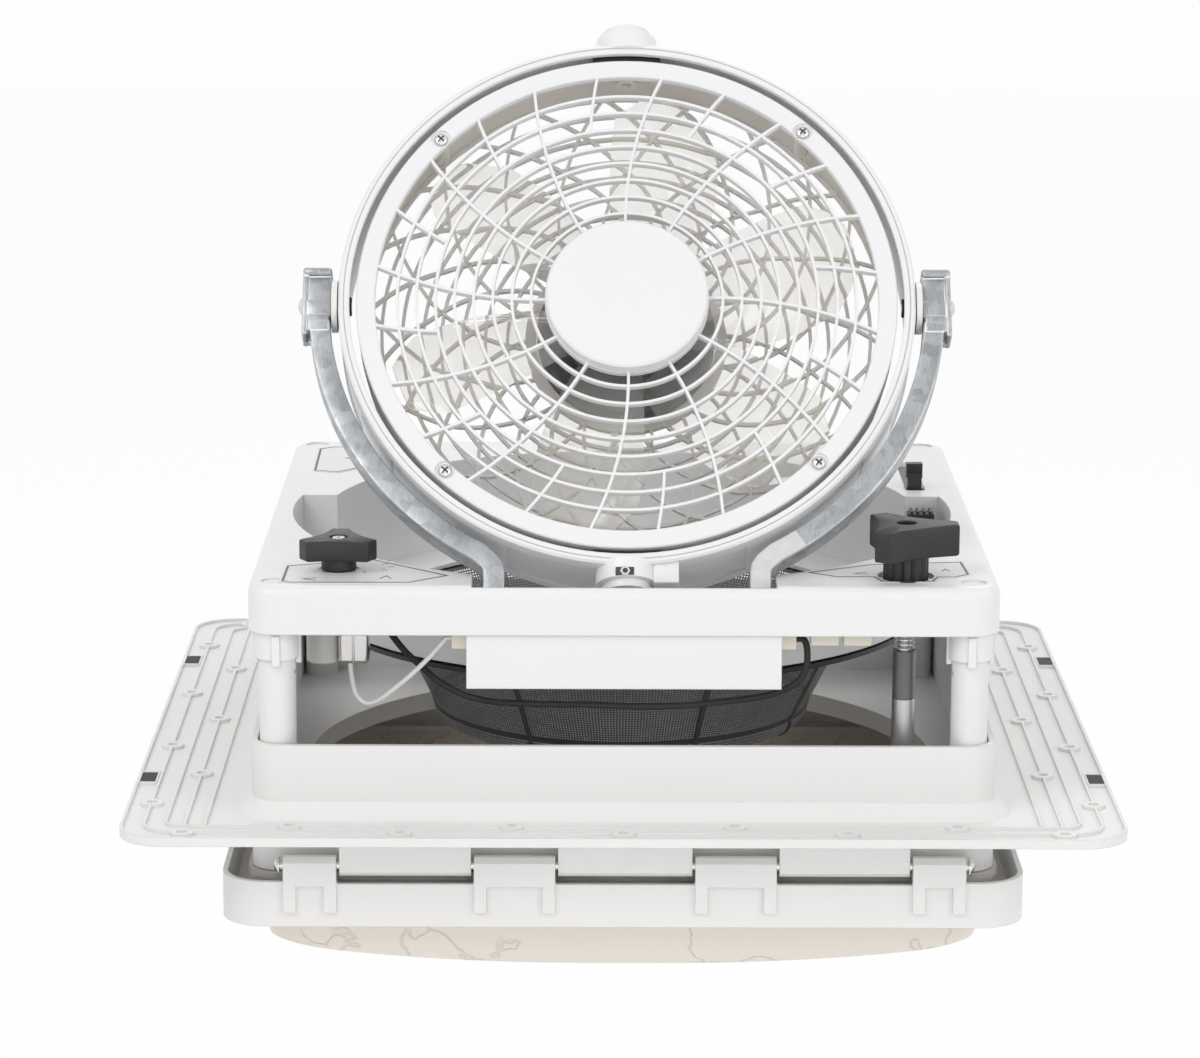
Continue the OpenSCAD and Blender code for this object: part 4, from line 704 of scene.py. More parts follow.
for index, seam_angle in enumerate(SEAM_ANGLES):
    c, s = math.cos(math.radians(seam_angle)), math.sin(math.radians(seam_angle))
    seam = [((r + 0.3) * c, (r + 0.3) * s, z) for r, z in screen_profile()[1:17]]
    seam_along(f"screen_seam_{index}", seam, (c, s, -0.5))
hem_round("screen_hem")

# %% [markdown]
# The blades are clear plastic. Each is a thin curved plate: it grows from the hub, twists
# from a steep root to a flatter tip and is bowed like a spoon. They share one hub with
# stiffening ribs inside, which the photograph shows through the plastic.

# %% Clear plastic
CLEAR_COAT = 0.5
CLEAR_BENDING = 1.16  # a low index of refraction, so that thin blades hardly bend the view


def build_clear_material(name, tone_a, tone_b, clearness):
    material, tree, shader = new_material(name)
    for label, value in (("Transmission Weight", clearness), ("Coat Weight", CLEAR_COAT),
                         ("IOR", CLEAR_BENDING)):
        shader.inputs[label].default_value = value
    life = add_life(tree, tone_a, tone_b, patch=60)
    spread = add_node(tree, "ShaderNodeMapRange", {"To Min": 0.0, "To Max": 0.06})
    wire(tree,
         (life, "Color", shader, "Base Color"), (life, "Gloss", spread, "Value"),
         (spread, "Result", shader, "Roughness"))
    return material


CLEAR = build_clear_material("clear_blades", (0.985, 0.97, 0.945), (0.90, 0.885, 0.855), 0.86)
# The hub's clear plastic is tinted grey, which is painted shade round the hub.
SHADED_HUB_CLEAR = build_clear_material("hub_clear_painted_shade", (0.80, 0.78, 0.76), (0.70, 0.68, 0.66), 0.9)

# %% Blades
BLADE_COUNT, FIRST_BLADE = 6, 15
BLADE_ROOT, BLADE_TIP = 30.0, 117.5
BLADE_HEIGHT = -12.0
ROOT_PITCH, PITCH_LOSS = 34, 17
BLADE_HALF, BLADE_BOW = 0.8, 3.4  # half the thickness, and the height of the bow
ROOT_CHORD, CHORD_SWELL = 30, 30
TIP_CUT, TIP_START = 22, 0.86  # how much the chord loses, and from which share on
ROOT_SWEEP, TIP_SWEEP = -2, 12


def blade_section(t):
    """One cross-section of a blade at the share t from root to tip: upper, then lower side."""
    radius = BLADE_ROOT + (BLADE_TIP - BLADE_ROOT) * t
    pitch = math.radians(ROOT_PITCH - PITCH_LOSS * t)
    chord = ROOT_CHORD + CHORD_SWELL * math.sin(math.pi * min(1, 0.12 + t * 0.62))
    chord -= TIP_CUT * max(0, t - TIP_START) / (1 - TIP_START)
    sweep = ROOT_SWEEP + TIP_SWEEP * t * t
    upper, lower = [], []
    for k in range(13):
        s = k / 12 - 0.5
        along = s * chord + sweep
        rise = BLADE_BOW * (1 - 4 * s * s) * (0.5 + 0.5 * t)
        half = BLADE_HALF * math.sqrt(max(0.0, 1 - (2 * s) ** 6))
        for side, store in ((1, upper), (-1, lower)):
            y = along * math.cos(pitch) - (rise + side * half) * math.sin(pitch)
            z = along * math.sin(pitch) + (rise + side * half) * math.cos(pitch)
            angle = y / radius
            store.append((radius * math.cos(angle), radius * math.sin(angle), BLADE_HEIGHT + z))
    return upper + lower[::-1][1:-1]


one_blade = loft([blade_section(k / 14) for k in range(15)])
blades = turned_copies("clear_blades", one_blade, BLADE_COUNT, CLEAR, FIRST_BLADE)
settle("clear_blades", blades, None, "rotor", replaces=["fan_blades"])
print("each blade reaches", BLADE_TIP, "mm from the shaft")

# %% Hub
HUB_RIBS = 12
HUB_PROFILE = [(3.1, 2.4), (27, 2.4), (30, 1.4), (31, -1), (31, -24.9), (28.8, -24.9),
               (28.8, -1.2), (26, 0.2), (7, 0.2), (7, -24.5), (3.1, -24.5)]


def build_hub():
    """The cup that the blades grow from, with its ribs inside."""
    rib_points, rib_faces = box_between((6.8, -0.7, -22), (28.9, 0.7, 0.3))
    parts = [turned(HUB_PROFILE, 72)]
    for k in range(HUB_RIBS):
        turn = Matrix.Rotation(2 * math.pi * k / HUB_RIBS, 3, "Z")
        parts.append(([turn @ Vector(p) for p in rib_points], rib_faces))
    return merge_parts(parts)


make_piece("blade_hub", *build_hub(), SHADED_HUB_CLEAR, "rotor", "clear_plastic", HEAD)
print("the hub has", HUB_RIBS, "ribs")

# %% [markdown]
# The yoke arms are flat bars with crisp edges, and a foot that turns down into the tray. A
# section with small corners is swept along the arm's middle line: up the leg, round a tight
# bend and along the arc. The pivot block is built from the plates that it shows: a lip on
# top, a recessed front, a step below and a thin flange on its outer side.

# %% Helpers for bars and blocks
def rounded_section(width, depth, radius, corner_steps=3):
    """A rectangle with rounded corners, as (across, out) pairs."""
    line = []
    for quadrant, (sx, sy) in enumerate(((1, 1), (-1, 1), (-1, -1), (1, -1))):
        for k in range(corner_steps + 1):
            a = math.radians(90 * quadrant + 90 * k / corner_steps)
            line.append((sx * (width / 2 - radius) + radius * math.cos(a),
                         sy * (depth / 2 - radius) + radius * math.sin(a)))
    return line


def sweep_flat(line, section):
    """A skin of a section swept along a line in one plane, square to its course."""
    rings = []
    for i, p in enumerate(line):
        ahead = (line[min(i + 1, len(line) - 1)] - line[max(i - 1, 0)]).normalized()
        across = Vector((ahead.y, -ahead.x, 0))
        rings.append([p + across * a + Vector((0, 0, b)) for a, b in section])
    return loft(rings)


def plate(x0, x1, y0, y1, z0, z1, radius=0.9, rise=0.5):
    """A block between six planes, with rounded corners and edges."""
    middle_x, middle_y = (x0 + x1) / 2, (y0 + y1) / 2
    rings = []
    for z, inset in ((z0, rise), (z0 + rise * 0.35, rise * 0.35), (z0 + rise, 0),
                     (z1 - rise, 0), (z1 - rise * 0.35, rise * 0.35), (z1, rise)):
        outline = rounded_section(x1 - x0 - 2 * inset, y1 - y0 - 2 * inset,
                                  max(radius - inset, 0.4))
        rings.append([(middle_x + a, middle_y + b, z) for a, b in outline])
    return loft(rings)


def disc_along_x(x0, x1, radius, y, steps=40, edge=0.8):
    """A round boss along X with softened rims."""
    profile = [(x0, 0.01), (x0, radius - edge), (x0 + edge, radius), (x1 - edge, radius),
               (x1, radius - edge), (x1, 0.01)]
    rings = []
    for i in range(steps):
        a = 2 * math.pi * i / steps
        rings.append([(x, y + r * math.cos(a), r * math.sin(a)) for x, r in profile])
    return loft(rings, closed_loop=True)


# %% Yoke arms
ARM_MIDDLE, LEG_X = 149.8, 63.2
ARM_WIDTH, ARM_DEPTH = 10.2, 14.6
FOOT_SPAN, FOOT_RADIUS = (58.0, 68.4), 7.6
# The leg's points, across from its own middle and up from the pivots
LEG_LINE = ((0, -YOKE_LENGTH), (0, -150), (0, -142.5), (0.5, -139.5), (2.2, -136.9))
ARC_GAP, ARC_END, ARC_STEP = 3.2, 86.4, 1.8  # degrees
BLOCK_PLATES = (
    (144.0, 157.6, -8.2, 15.0, -7.6, 5.7),  # core
    (144.4, 157.0, -17.6, 16.0, -7.9, -3.0),  # back
    (143.9, 158.0, 13.6, 18.0, -7.9, 7.9, 1.6, 1.2),  # lip on top
    (144.2, 155.6, -7.8, 0.4, 3.0, 6.7, 0.6, 0.5),  # step below
    (155.3, 158.0, -18.0, 17.0, -7.9, 6.9, 1.0, 0.7),  # outer flange
    (145.0, 155.2, -16.0, -7.4, -7.3, 7.5, 0.8, 0.5),  # top of the bar
)


def arm_centre_line():
    """The middle line of a right arm in the yoke's plane, from its foot to its pivot block."""
    line = [Vector((LEG_X + x, y, 0)) for x, y in LEG_LINE]
    angle = math.asin(LEG_X / ARM_MIDDLE) + math.radians(ARC_GAP)
    while angle < math.radians(ARC_END):
        line.append(Vector((ARM_MIDDLE * math.sin(angle), -ARM_MIDDLE * math.cos(angle), 0)))
        angle += math.radians(ARC_STEP)
    return line


def build_arm():
    """A right arm: its bar, its foot on the hinge shaft and its pivot block."""
    bar = sweep_flat(arm_centre_line(), rounded_section(ARM_WIDTH, ARM_DEPTH, 0.9))
    foot = disc_along_x(*FOOT_SPAN, FOOT_RADIUS, -YOKE_LENGTH)
    return merge_parts([bar, foot] + [plate(*sizes) for sizes in BLOCK_PLATES])


arm_points, arm_faces = build_arm()
make_piece("bar_arm_right", arm_points, arm_faces, GALVANISED, "yoke", "cast_metal", HEAD,
           replaces=["yoke_arm_right"], auto=35)
mirrored = [(-x, y, z) for x, y, z in arm_points]
make_piece("bar_arm_left", mirrored, arm_faces, GALVANISED, "yoke", "cast_metal", HEAD,
           replaces=["yoke_arm_left"], auto=35)
print("an arm has", len(arm_faces), "faces")

# %% [markdown]
# The front of the right leg carries brushed white paint, from its foot to past the bend. It
# is a skin a fifth of a millimetre thick on the bar, with a patchy tone.

# %% Paint on the right leg
BRUSHED_WHITE = finish("brushed_paint", (0.80, 0.79, 0.775), (0.55, 0.55, 0.55),
                       rough=(0.35, 0.5), patch=140)
PAINT_WIDTH, PAINT_THICKNESS = 9.4, 0.2
paint_front = ARM_DEPTH / 2 + 0.02
paint_section = [(a, b + paint_front) for a, b in
                 rounded_section(PAINT_WIDTH, PAINT_THICKNESS, 0.06)]
paint = sweep_flat(arm_centre_line()[:9], paint_section)
make_piece("leg_paint", *paint, BRUSHED_WHITE, "yoke", "cast_metal", HEAD, auto=35)

# %% [markdown]
# Both knobs have three arms with flat ends. A shallow circle hollows each flank between two
# arms, and the corners are rounded. Stacked copies of the outline, drawn in a little at the
# top and bottom, give the moulded edge, and the last rings sink the dish for the screw.

# %% Knobs
KNOB_STEPS = 240


def lobe_radius(angle, reach, waist, tip, first):
    """How far a knob's outline lies from its axis at an angle in degrees.

    The reach is that of an arm's end, the tip half its width, and the waist how far the
    middle of a hollow lies from the axis.
    """
    a = abs(math.radians((angle - first + 60) % 120 - 60))
    half_gap = math.radians(60) - math.atan2(tip, reach)
    corner = math.hypot(reach, tip)
    sag = corner * math.cos(half_gap) - waist
    hollow = ((corner * math.sin(half_gap)) ** 2 + sag ** 2) / (2 * sag)
    far, b = waist + hollow, math.radians(60) - a
    flank = far * math.cos(b) - math.sqrt(max(0.0, hollow ** 2 - (far * math.sin(b)) ** 2))
    end = reach / math.cos(a)
    return -0.5 * math.log(math.exp(-2 * flank) + math.exp(-2 * end))


def knob_head(reach, waist, tip, first, height, z0, soft=1.0, dish=4.3, dish_depth=2.0):
    """A knob's head from its height z0 upwards, with soft edges and a dish on top."""
    levels = [(soft, 0), (soft * 0.3, soft * 0.3), (0, soft), (0, height - soft),
              (soft * 0.3, height - soft * 0.3), (soft, height)]
    dish_levels = [(dish + 0.4, height), (dish, height - 0.4), (dish, height - dish_depth)]
    turns = [360 * i / KNOB_STEPS for i in range(KNOB_STEPS)]
    outline = [lobe_radius(turn, reach, waist, tip, first) for turn in turns]
    rings = [([r - inset for r in outline], z) for inset, z in levels]
    rings += [([r] * KNOB_STEPS, z) for r, z in dish_levels]
    return loft([[(r * math.cos(math.radians(turn)), r * math.sin(math.radians(turn)), z0 + z)
                  for r, turn in zip(radii, turns)] for radii, z in rings])


def fluted_post(radius, flutes, depth, z0, z1, steps=144):
    """A round post with hollow flutes down its side."""
    outline = []
    for i in range(steps):
        a = 2 * math.pi * i / steps
        r = radius - depth * (0.5 - 0.5 * math.cos(flutes * a)) ** 3
        outline.append((r * math.cos(a), r * math.sin(a)))
    return loft([[(x, y, z) for x, y in outline] for z in (z0, z1)])


SPEED_KNOB_AT = (-136.3, -141.0, 111.0)
speed_parts = merge_parts([
    knob_head(reach=19.2, waist=11.0, tip=4.2, first=90, height=9.8, z0=6.2),
    turned([(3.1, 0.5), (8.4, 0.5), (8.4, 6.5), (3.1, 6.5)], 64),
])
make_piece("moulded_speed_knob", *moved(speed_parts, SPEED_KNOB_AT), BLACK, "speed_knob",
           "black_plastic", replaces=["speed_knob"], auto=30)

LIFT_KNOB_AT = (134.0, -153.0, 111.0)
lift_parts = merge_parts([
    knob_head(reach=25.0, waist=13.8, tip=4.5, first=0, height=15.2, z0=11.0, soft=1.2,
              dish=4.75, dish_depth=3),
    fluted_post(radius=10.8, flutes=12, depth=1.3, z0=-5.5, z1=11.4),
])
make_piece("moulded_lift_knob", *moved(lift_parts, LIFT_KNOB_AT), BLACK, "lift_shaft",
           "black_plastic", replaces=["lift_knob"], auto=30)
print("the knobs have", len(speed_parts[1]), "and", len(lift_parts[1]), "faces")

# %% [markdown]
# The switch under the left knob is a pale barrel beside a bright pressed case with a seam.

# %% Speed switch
# The barrel's own grey, also used on the ring's groove, where it is painted shade.
BARREL_GREY_AND_GROOVE_SHADE = finish("switch_barrel", (0.50, 0.485, 0.46), (0.60, 0.585, 0.56), rough=(0.35, 0.5))
SWITCH_FOOT, BARREL_TOP = 66, 97.5
BARREL_SHIFT, CASE_SHIFT = -8, 6.9
barrel_x, case_x, switch_y = (SPEED_KNOB_AT[0] + BARREL_SHIFT, SPEED_KNOB_AT[0] + CASE_SHIFT,
                              SPEED_KNOB_AT[1])
BARREL_PROFILE = [(0.01, SWITCH_FOOT), (7.2, SWITCH_FOOT), (7.8, SWITCH_FOOT + 0.6),
                  (7.8, BARREL_TOP), (0.01, BARREL_TOP)]
barrel = turned(BARREL_PROFILE, 64, (barrel_x, switch_y))
make_piece("switch_barrel", *barrel, BARREL_GREY_AND_GROOVE_SHADE, "base", "steel",
           replaces=["speed_switch_body"])
case = merge_parts([
    # the pressed body, its seam, and the wider sleeve at its top
    plate(case_x - 7.4, case_x + 7.4, switch_y - 7.4, switch_y + 7.4, 66.0, 97.0, 2.4, 1.8),
    plate(case_x - 0.5, case_x + 0.5, switch_y - 7.9, switch_y, 67.0, 97.0, 0.3, 0.2),
    plate(case_x - 7.8, case_x + 7.8, switch_y - 7.7, switch_y + 7.7, 80.0, 97.4, 2.0, 0.6),
])
make_piece("switch_case", *case, PLATED, "base", "steel", auto=35)
print("the switch's case has", len(case[1]), "faces")

# %% [markdown]
# The three labels are thin printed plates. Their words stay off here, and only generic
# marks are drawn: an outline, arrows and ticks. Each mark is a thin raised stroke.

# %% Labels
INK = finish("label_ink", (0.05, 0.05, 0.055), (0.08, 0.08, 0.085), rough=(0.4, 0.5), edge=0)
LABEL = finish("label_face", (0.78, 0.78, 0.78), (0.74, 0.74, 0.745), rough=(0.3, 0.4), edge=0)
dress("control_labels", LABEL)
LABEL_TOP, INK_SUNK, INK_PROUD = 111.3, 0.1, 0.06
OUTLINE_WIDTH, ARROW_WIDTH, TICK_WIDTH = 1.2, 0.7, 0.6
LEFT_OUTLINE = [(-161, -135.4), (-161.4, -167.6), (-157.4, -170), (-101.6, -169.6),
                (-84.2, -155.2), (-121.2, -121.2)]
RIGHT_OUTLINE = [(88.4, -146.6), (101.2, -155.2), (119, -155.2), (122, -164.4), (146, -164.4),
                 (149, -155.2), (157.4, -155), (164, -149.4), (162.6, -123.2), (118.8, -129.4)]
BACK_OUTLINE = [(-162.4, 93), (-163, 151.4), (-156.2, 156.5), (-112.6, 156.5), (-105.4, 149.6),
                (-113.2, 132.4), (-140.8, 99.6), (-150, 89.4)]
# Each arrow's place, its turn in degrees and its size
ARROWS = [(-150, -163, 180, 6), (-113, -158, 90, 6), (112, -148, 180, 6), (154, -140, 90, 4),
          (-147, 126, 180, 4)]
TICK_TURNS, TICK_RADIUS, TICK_LENGTH = (-60, -30, 0, 30, 60), 23.5, 3.2
TICK_SQUASH, TICK_SHIFT = 0.5, 4  # the arc of ticks is flatter than a circle, and shifted back


def stroke(line, width, closed=False):
    """A flat raised stroke along a line of (x, y) points on the labels."""
    spots = [Vector(p) for p in line]
    foot, top = LABEL_TOP - INK_SUNK, LABEL_TOP + INK_PROUD
    rings = []
    for i, p in enumerate(spots):
        before = spots[i - 1] if (closed or i) else p
        after = spots[(i + 1) % len(spots)] if (closed or i < len(spots) - 1) else p
        into = (p - before).normalized() if p != before else (after - p).normalized()
        out = (after - p).normalized() if p != after else into
        side = Vector((-(into + out).y, (into + out).x)).normalized()
        reach = width / 2 / max(0.4, abs(side.dot(Vector((-into.y, into.x)))))
        a, b = p + side * reach, p - side * reach
        rings.append([(a.x, a.y, foot), (a.x, a.y, top), (b.x, b.y, top), (b.x, b.y, foot)])
    return loft(rings, closed_loop=closed)


def arrow(x, y, turn, size):
    """The line of an open arrow head."""
    c, s = math.cos(math.radians(turn)), math.sin(math.radians(turn))
    shape = [(-0.7, 0.45), (0.35, 0), (-0.7, -0.45)]
    return [(x + size * (a * c - b * s), y + size * (a * s + b * c)) for a, b in shape]


def tick_line(turn):
    """One of the short lines that stand in a shallow arc beside the left knob."""
    a = math.radians(turn)
    near = (SPEED_KNOB_AT[0] + TICK_RADIUS * math.cos(a),
            SPEED_KNOB_AT[1] + TICK_RADIUS * math.sin(a) * TICK_SQUASH + TICK_SHIFT)
    return [near, (near[0] + TICK_LENGTH * math.cos(a), near[1] + TICK_LENGTH * math.sin(a))]


marks = [stroke(line, OUTLINE_WIDTH, True) for line in (LEFT_OUTLINE, RIGHT_OUTLINE, BACK_OUTLINE)]
marks += [stroke(arrow(*spot), ARROW_WIDTH) for spot in ARROWS]
marks += [stroke(tick_line(turn), TICK_WIDTH) for turn in TICK_TURNS]
make_piece("label_marks", *merge_parts(marks), INK, "base", "label", smooth=False)
print("drew", len(marks), "marks")

# %% [markdown]
# The lid's dome is warm cream sheet with a veined, crackled relief. Veins come from the
# edges of a cell pattern that is bent by noise, and feed both the tone and the bump.

# %% The lid's marbled finish
VEIN_TONE, CREAM_TONE = (0.72, 0.67, 0.58, 1), (0.81, 0.76, 0.68, 1)
CELL_SCALE, BEND_SCALE, BEND_SHARE, VEIN_WIDTH = 13, 20, 0.2, 0.025


def build_marble():
    material, tree, shader = new_material("veined_cream")
    shader.inputs["Roughness"].default_value = 0.42
    place = add_node(tree, "ShaderNodeTexCoord")
    bend = add_node(tree, "ShaderNodeTexNoise", {"Scale": BEND_SCALE, "Detail": 4})
    push = add_node(tree, "ShaderNodeMix", {"Factor": BEND_SHARE}, data_type="VECTOR")
    cells = add_node(tree, "ShaderNodeTexVoronoi", {"Scale": CELL_SCALE},
                     feature="DISTANCE_TO_EDGE")
    vein = add_node(tree, "ShaderNodeMapRange", {"From Max": VEIN_WIDTH})
    tone = add_node(tree, "ShaderNodeMix", {"A": VEIN_TONE, "B": CREAM_TONE}, data_type="RGBA")
    relief = add_node(tree, "ShaderNodeBump", {"Strength": 0.5, "Distance": 0.0012})
    wire(tree,
         (place, "Object", bend, "Vector"), (place, "Object", push, "A"),
         (bend, "Color", push, "B"), (push, "Result", cells, "Vector"),
         (cells, "Distance", vein, "Value"), (vein, "Result", tone, "Factor"),
         (vein, "Result", relief, "Height"), (tone, "Result", shader, "Base Color"),
         (relief, "Normal", shader, "Normal"))
    return material


dress("lid_dome", build_marble())
print("the lid's veins lie about", round(1 / (CELL_SCALE * MM)), "mm apart")

# %% [markdown]
# The face of the fan is held by four pan screws with cross recesses. One screw and its
# cross are drawn at their place on the face, and the turned copies make four of each.
# Each cross is a dark block a little proud of the head: painted shade in the recess.

# %% The four screws of the face
# A near-black tone that is painted shade in recesses and openings.
RECESS_PAINTED_SHADE = finish("recess_painted_shade", (0.05, 0.05, 0.05), (0.09, 0.09, 0.09), rough=(0.5, 0.6),
                   metallic=0.6, edge=0)
SCREW_COUNT, SCREW_TURN = 4, 46.5
SCREW_PLACE = (126.5, 0, 9.5)
SCREW_PROFILE = [(0.01, 2.0), (1.5, 1.9), (2.6, 1.5), (3.3, 0.8), (3.5, 0), (1.5, 0),
                 (1.5, -12), (0.01, -13)]
CROSS_ARMS = [((-2.1, -0.4, 1.7), (2.1, 0.4, 2.04)), ((-0.4, -2.1, 1.7), (0.4, 2.1, 2.04))]

screw = moved(turned(SCREW_PROFILE, 32), SCREW_PLACE)
screws = turned_copies("face_screws", screw, SCREW_COUNT, PLATED, SCREW_TURN)
settle("face_screws", screws, None, "head", replaces=["grille_screws"])
cross = moved(merge_parts([box_between(*corners) for corners in CROSS_ARMS]), SCREW_PLACE)
crosses = turned_copies("screw_crosses", cross, SCREW_COUNT, RECESS_PAINTED_SHADE, SCREW_TURN)
settle("screw_crosses", crosses, None, "head", smooth=False)

# %% [markdown]
# Behind the blades sits a basket of crossing bars. Two sets of curved spokes, bent against
# each other, run from the motor's ring out over the basket's shoulder to the housing, and
# hoops tie them together. One spoke of each set is drawn, and the turned copies do the rest.

# %% Spokes of the rear basket
# The spokes and hoops carry the warm grey painted shade of the rear finish.
BASKET_BACK, BASKET_RIM = -41.0, 129.0
SHOULDER_START, SHOULDER_SLOPE = 98.0, 0.53
SPOKE_ROOT, SPOKE_STEPS, SPOKE_DEPTH = 48, 24, 2.4
# Each set's bend in degrees, bar width, number of spokes and first turn in degrees
SPOKE_SETS = ((46, 1.7, 22, 0), (-30, 1.4, 18, 5))


def bar_along(line, width, depth):
    """A bar with a rectangular section along a line, its depth set towards Z."""
    rings = []
    for i, p in enumerate(line):
        ahead = (line[min(i + 1, len(line) - 1)] - line[max(i - 1, 0)]).normalized()
        across = ahead.cross(Vector((0, 0, 1))).normalized() * width / 2
        deep = across.cross(ahead).normalized() * depth / 2
        rings.append([p + across + deep, p - across + deep, p - across - deep, p + across - deep])
    return loft(rings)


def basket_spoke(bend, width):
    """One spoke, bent round the axis on its way out and forward over the shoulder."""
    line = []
    for k in range(SPOKE_STEPS + 1):
        t = k / SPOKE_STEPS
        r = SPOKE_ROOT + (BASKET_RIM - SPOKE_ROOT) * t
        z = BASKET_BACK + 1.6 + max(0.0, r - SHOULDER_START) * SHOULDER_SLOPE
        a = math.radians(bend) * t ** 1.2
        line.append(Vector((r * math.cos(a), r * math.sin(a), z)))
    return bar_along(line, width, SPOKE_DEPTH)


for index, (bend, width, copies, first) in enumerate(SPOKE_SETS):
    name = f"basket_spokes_{index}"
    spokes = turned_copies(name, basket_spoke(bend, width), copies, REAR_PAINTED_SHADE, first)
    settle(name, spokes, None, "head", smooth=False,
           replaces=["rear_grille"] if index == 0 else ())

# %% Hoops of the rear basket
MOTOR_HOOP = (44.5, BASKET_BACK, 5.5, 3.5)
RIM_HOOP = (BASKET_RIM - 1.6, -24.8, 2.5)
FLAT_HOOPS, SHOULDER_HOOPS = (58, 69, 80, 91, 100), (110, 120)


def basket_hoop(radius, z, width=1.6, depth=2.5):
    """A hoop with a rectangular section."""
    profile = [(radius, z), (radius + width, z), (radius + width, z + depth), (radius, z + depth)]
    return turned(profile, 96)


hoops = [basket_hoop(*MOTOR_HOOP), basket_hoop(*RIM_HOOP)]
hoops += [basket_hoop(r, BASKET_BACK) for r in FLAT_HOOPS]
for r in SHOULDER_HOOPS:
    hoops.append(basket_hoop(r, BASKET_BACK + (r - SHOULDER_START) * SHOULDER_SLOPE))
make_piece("basket_hoops", *merge_parts(hoops), REAR_PAINTED_SHADE, "head", "white_plastic", HEAD,
           smooth=False)
print("the basket has", len(hoops), "hoops")

# %% [markdown]
# The ring has a fine groove round its face, drawn as a thin grey band: painted shade in
# the groove. Its lower pivot shows a small square window with a nut in it; the window is a
# dark plate, painted shade in the opening. A solid lug stands beside the boss. All of them tilt
# with the ring.

# %% Groove, lug, window and nut of the ring
GROOVE_PROFILE = [(137.5, 11.8), (138.1, 11.8), (138.1, 12.13), (137.5, 12.13)]
LUG_SIDES = (12.4, 24.6, -149.0, -137.5, -4.5, 9.5, 1.0, 0.6)
WINDOW_SIDES = (-5.6, 3.2, -147.3, -143.2, 12.5, 15.1, 0.5, 0.2)
NUT_PROFILE, NUT_PLACE = [(1.4, 0), (2.4, 0), (2.4, 1.6), (1.4, 1.6)], (-1.0, -145.2, 13.8)

groove = turned(GROOVE_PROFILE, 160)
# The grey band is painted shade in the groove.
make_piece("ring_groove", *groove, BARREL_GREY_AND_GROOVE_SHADE, "ring", "white_plastic", HEAD, smooth=False)
make_piece("ring_lug", *plate(*LUG_SIDES), GRILLE_WHITE, "ring", "white_plastic", HEAD, auto=35)
# The dark plate is painted shade in the window's opening.
make_piece("boss_window", *plate(*WINDOW_SIDES), RECESS_PAINTED_SHADE, "ring", "black_plastic", HEAD,
           auto=35)
nut = moved(turned(NUT_PROFILE, 6), NUT_PLACE)
make_piece("boss_nut", *nut, PLATED, "ring", "steel", HEAD, smooth=False)

# %% [markdown]
# The floor and the backdrop are plain and pale, as in the photograph. The lid hangs below
# the flange and has to swing open, so the floor lies well under it. What the camera sees of
# both, straight or through clear and bright pieces, is kept near white by a glow, while
# the lamps still draw the fan's shadow on the floor.

# %% The floor
FLOOR_HEIGHT, FLOOR_TONE, FLOOR_GLOW = -0.36, (0.93, 0.93, 0.93, 1), 0.92
FLOOR_CORNERS = [(x, y, FLOOR_HEIGHT) for x, y in ((-6, -4), (6, -4), (6, 6), (-6, 6))]


def seen_directly(tree):
    """A mask that is one for camera, transmission and glossy rays."""
    path = add_node(tree, "ShaderNodeLightPath")
    camera_or_clear = add_node(tree, "ShaderNodeMath", operation="MAXIMUM")
    seen = add_node(tree, "ShaderNodeMath", operation="MAXIMUM")
    wire(tree,
         (path, "Is Camera Ray", camera_or_clear, 0),
         (path, "Is Transmission Ray", camera_or_clear, 1),
         (camera_or_clear, 0, seen, 0), (path, "Is Glossy Ray", seen, 1))
    return seen


def build_floor_material():
    material, tree, shader = new_material("pale_floor")
    shader.inputs["Base Color"].default_value = FLOOR_TONE
    shader.inputs["Roughness"].default_value = 0.9
    glow = add_node(tree, "ShaderNodeEmission")
    share = add_node(tree, "ShaderNodeMath", {1: FLOOR_GLOW}, operation="MULTIPLY")
    mix = add_node(tree, "ShaderNodeMixShader")
    wire(tree,
         (seen_directly(tree), 0, share, 0), (share, 0, mix, "Fac"),
         (shader, "BSDF", mix, 1), (glow, "Emission", mix, 2),
         (mix, "Shader", tree.nodes["Material Output"], "Surface"))
    return material


floor_mesh = bpy.data.meshes.new("floor")
floor_mesh.from_pydata(FLOOR_CORNERS, [], [(0, 1, 2, 3)])
floor_mesh.materials.append(build_floor_material())
floor = bpy.data.objects.new("floor", floor_mesh)
bpy.context.scene.collection.objects.link(floor)
print("the floor lies at", FLOOR_HEIGHT, "m")

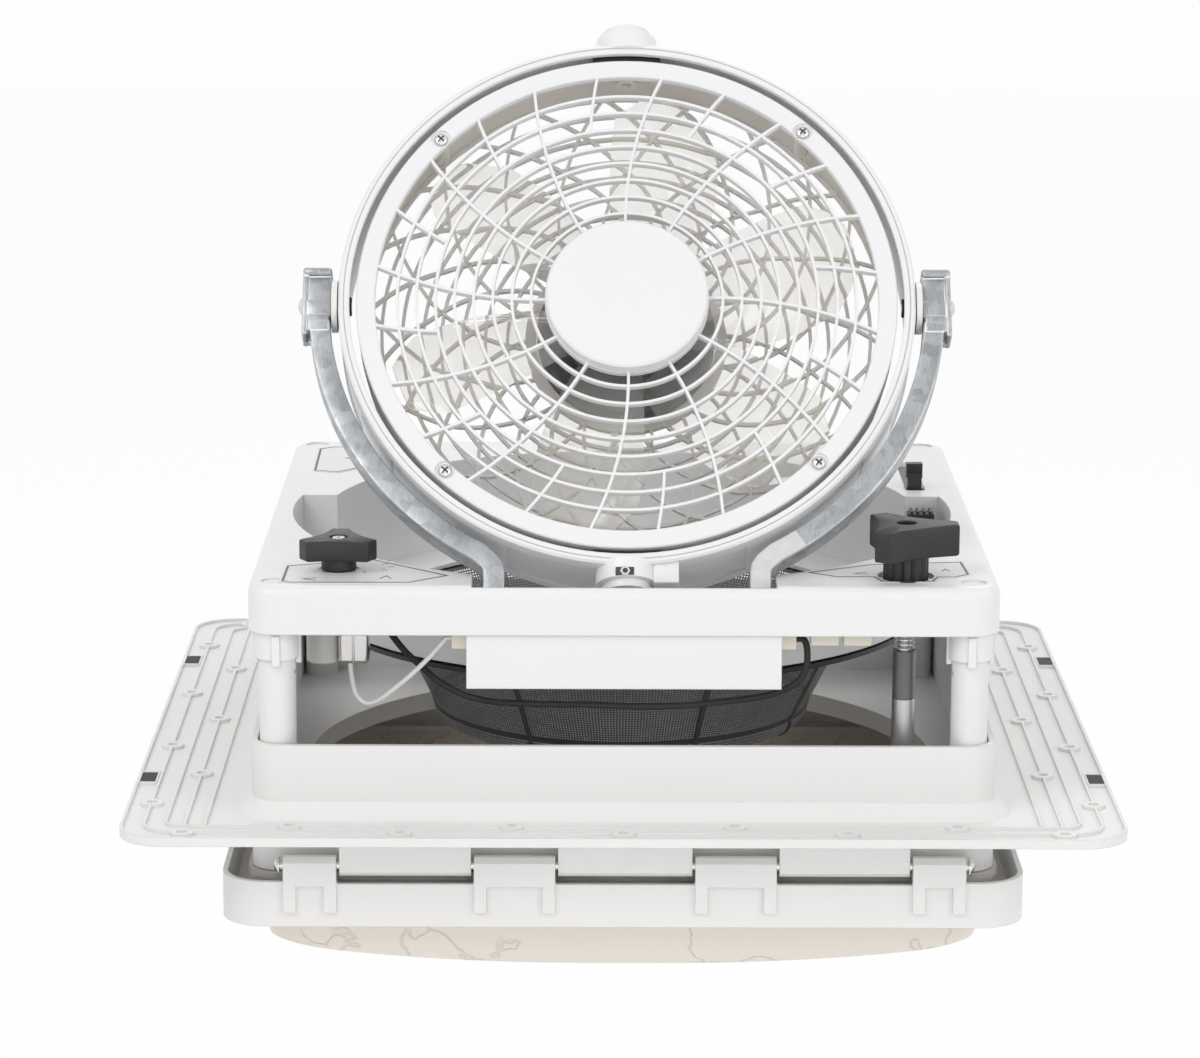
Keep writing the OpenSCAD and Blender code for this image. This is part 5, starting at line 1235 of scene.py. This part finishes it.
# %% [markdown]
# The photograph is lit softly from all around, as in a studio. Four wide lamps do the same:
# a key lamp at the front left, a weaker one at the right, a low one that reaches under the
# tray, and one behind that draws the upper edges of the white parts.

# %% Lamps
# Each lamp's name, place, aim, size in metres and power in watts
LAMPS = (
    ("key_light", (-1.4, -1.6, 1.9), (0, 0, 0.1), (1.2, 1.2), 18),
    ("fill_light", (1.7, -1.5, 1.1), (0, 0, 0.1), (1.2, 1.2), 9),
    ("low_light", (0.15, -2.0, 0.12), (0, 0, 0.05), (0.9, 0.5), 2.2),
    ("back_light", (0.3, 1.6, 1.7), (0, 0, 0.15), (1.4, 1.0), 11),
)


def soft_box(name, place, aim, size, watts):
    """A rectangular lamp turned towards its aim."""
    data = bpy.data.lights.new(name, "AREA")
    data.shape = "RECTANGLE"
    data.size, data.size_y = size
    data.energy = watts
    lamp = bpy.data.objects.new(name, data)
    lamp.location = place
    lamp.rotation_euler = (Vector(aim) - Vector(place)).to_track_quat("-Z", "Y").to_euler()
    bpy.context.scene.collection.objects.link(lamp)


for lamp in LAMPS:
    soft_box(*lamp)
print("hung", len(LAMPS), "lamps")

# %% [markdown]
# A dim white world fills the shadows, and a brighter one is all that the camera sees of it.

# %% World
AMBIENT_STRENGTH, BACKDROP_STRENGTH, WORLD_WHITE = 0.7, 0.985, (1, 1, 1, 1)
world = bpy.data.worlds.new("studio")
bpy.context.scene.world = world
world.use_nodes = True
sky = world.node_tree
ambient = sky.nodes["Background"]
ambient.inputs["Color"].default_value = WORLD_WHITE
ambient.inputs["Strength"].default_value = AMBIENT_STRENGTH
backdrop = add_node(sky, "ShaderNodeBackground",
                    {"Color": WORLD_WHITE, "Strength": BACKDROP_STRENGTH})
mix = add_node(sky, "ShaderNodeMixShader")
wire(sky,
     (seen_directly(sky), 0, mix, "Fac"), (ambient, "Background", mix, 1),
     (backdrop, "Background", mix, 2), (mix, "Shader", sky.nodes["World Output"], "Surface"))
print("the backdrop's strength is", BACKDROP_STRENGTH)
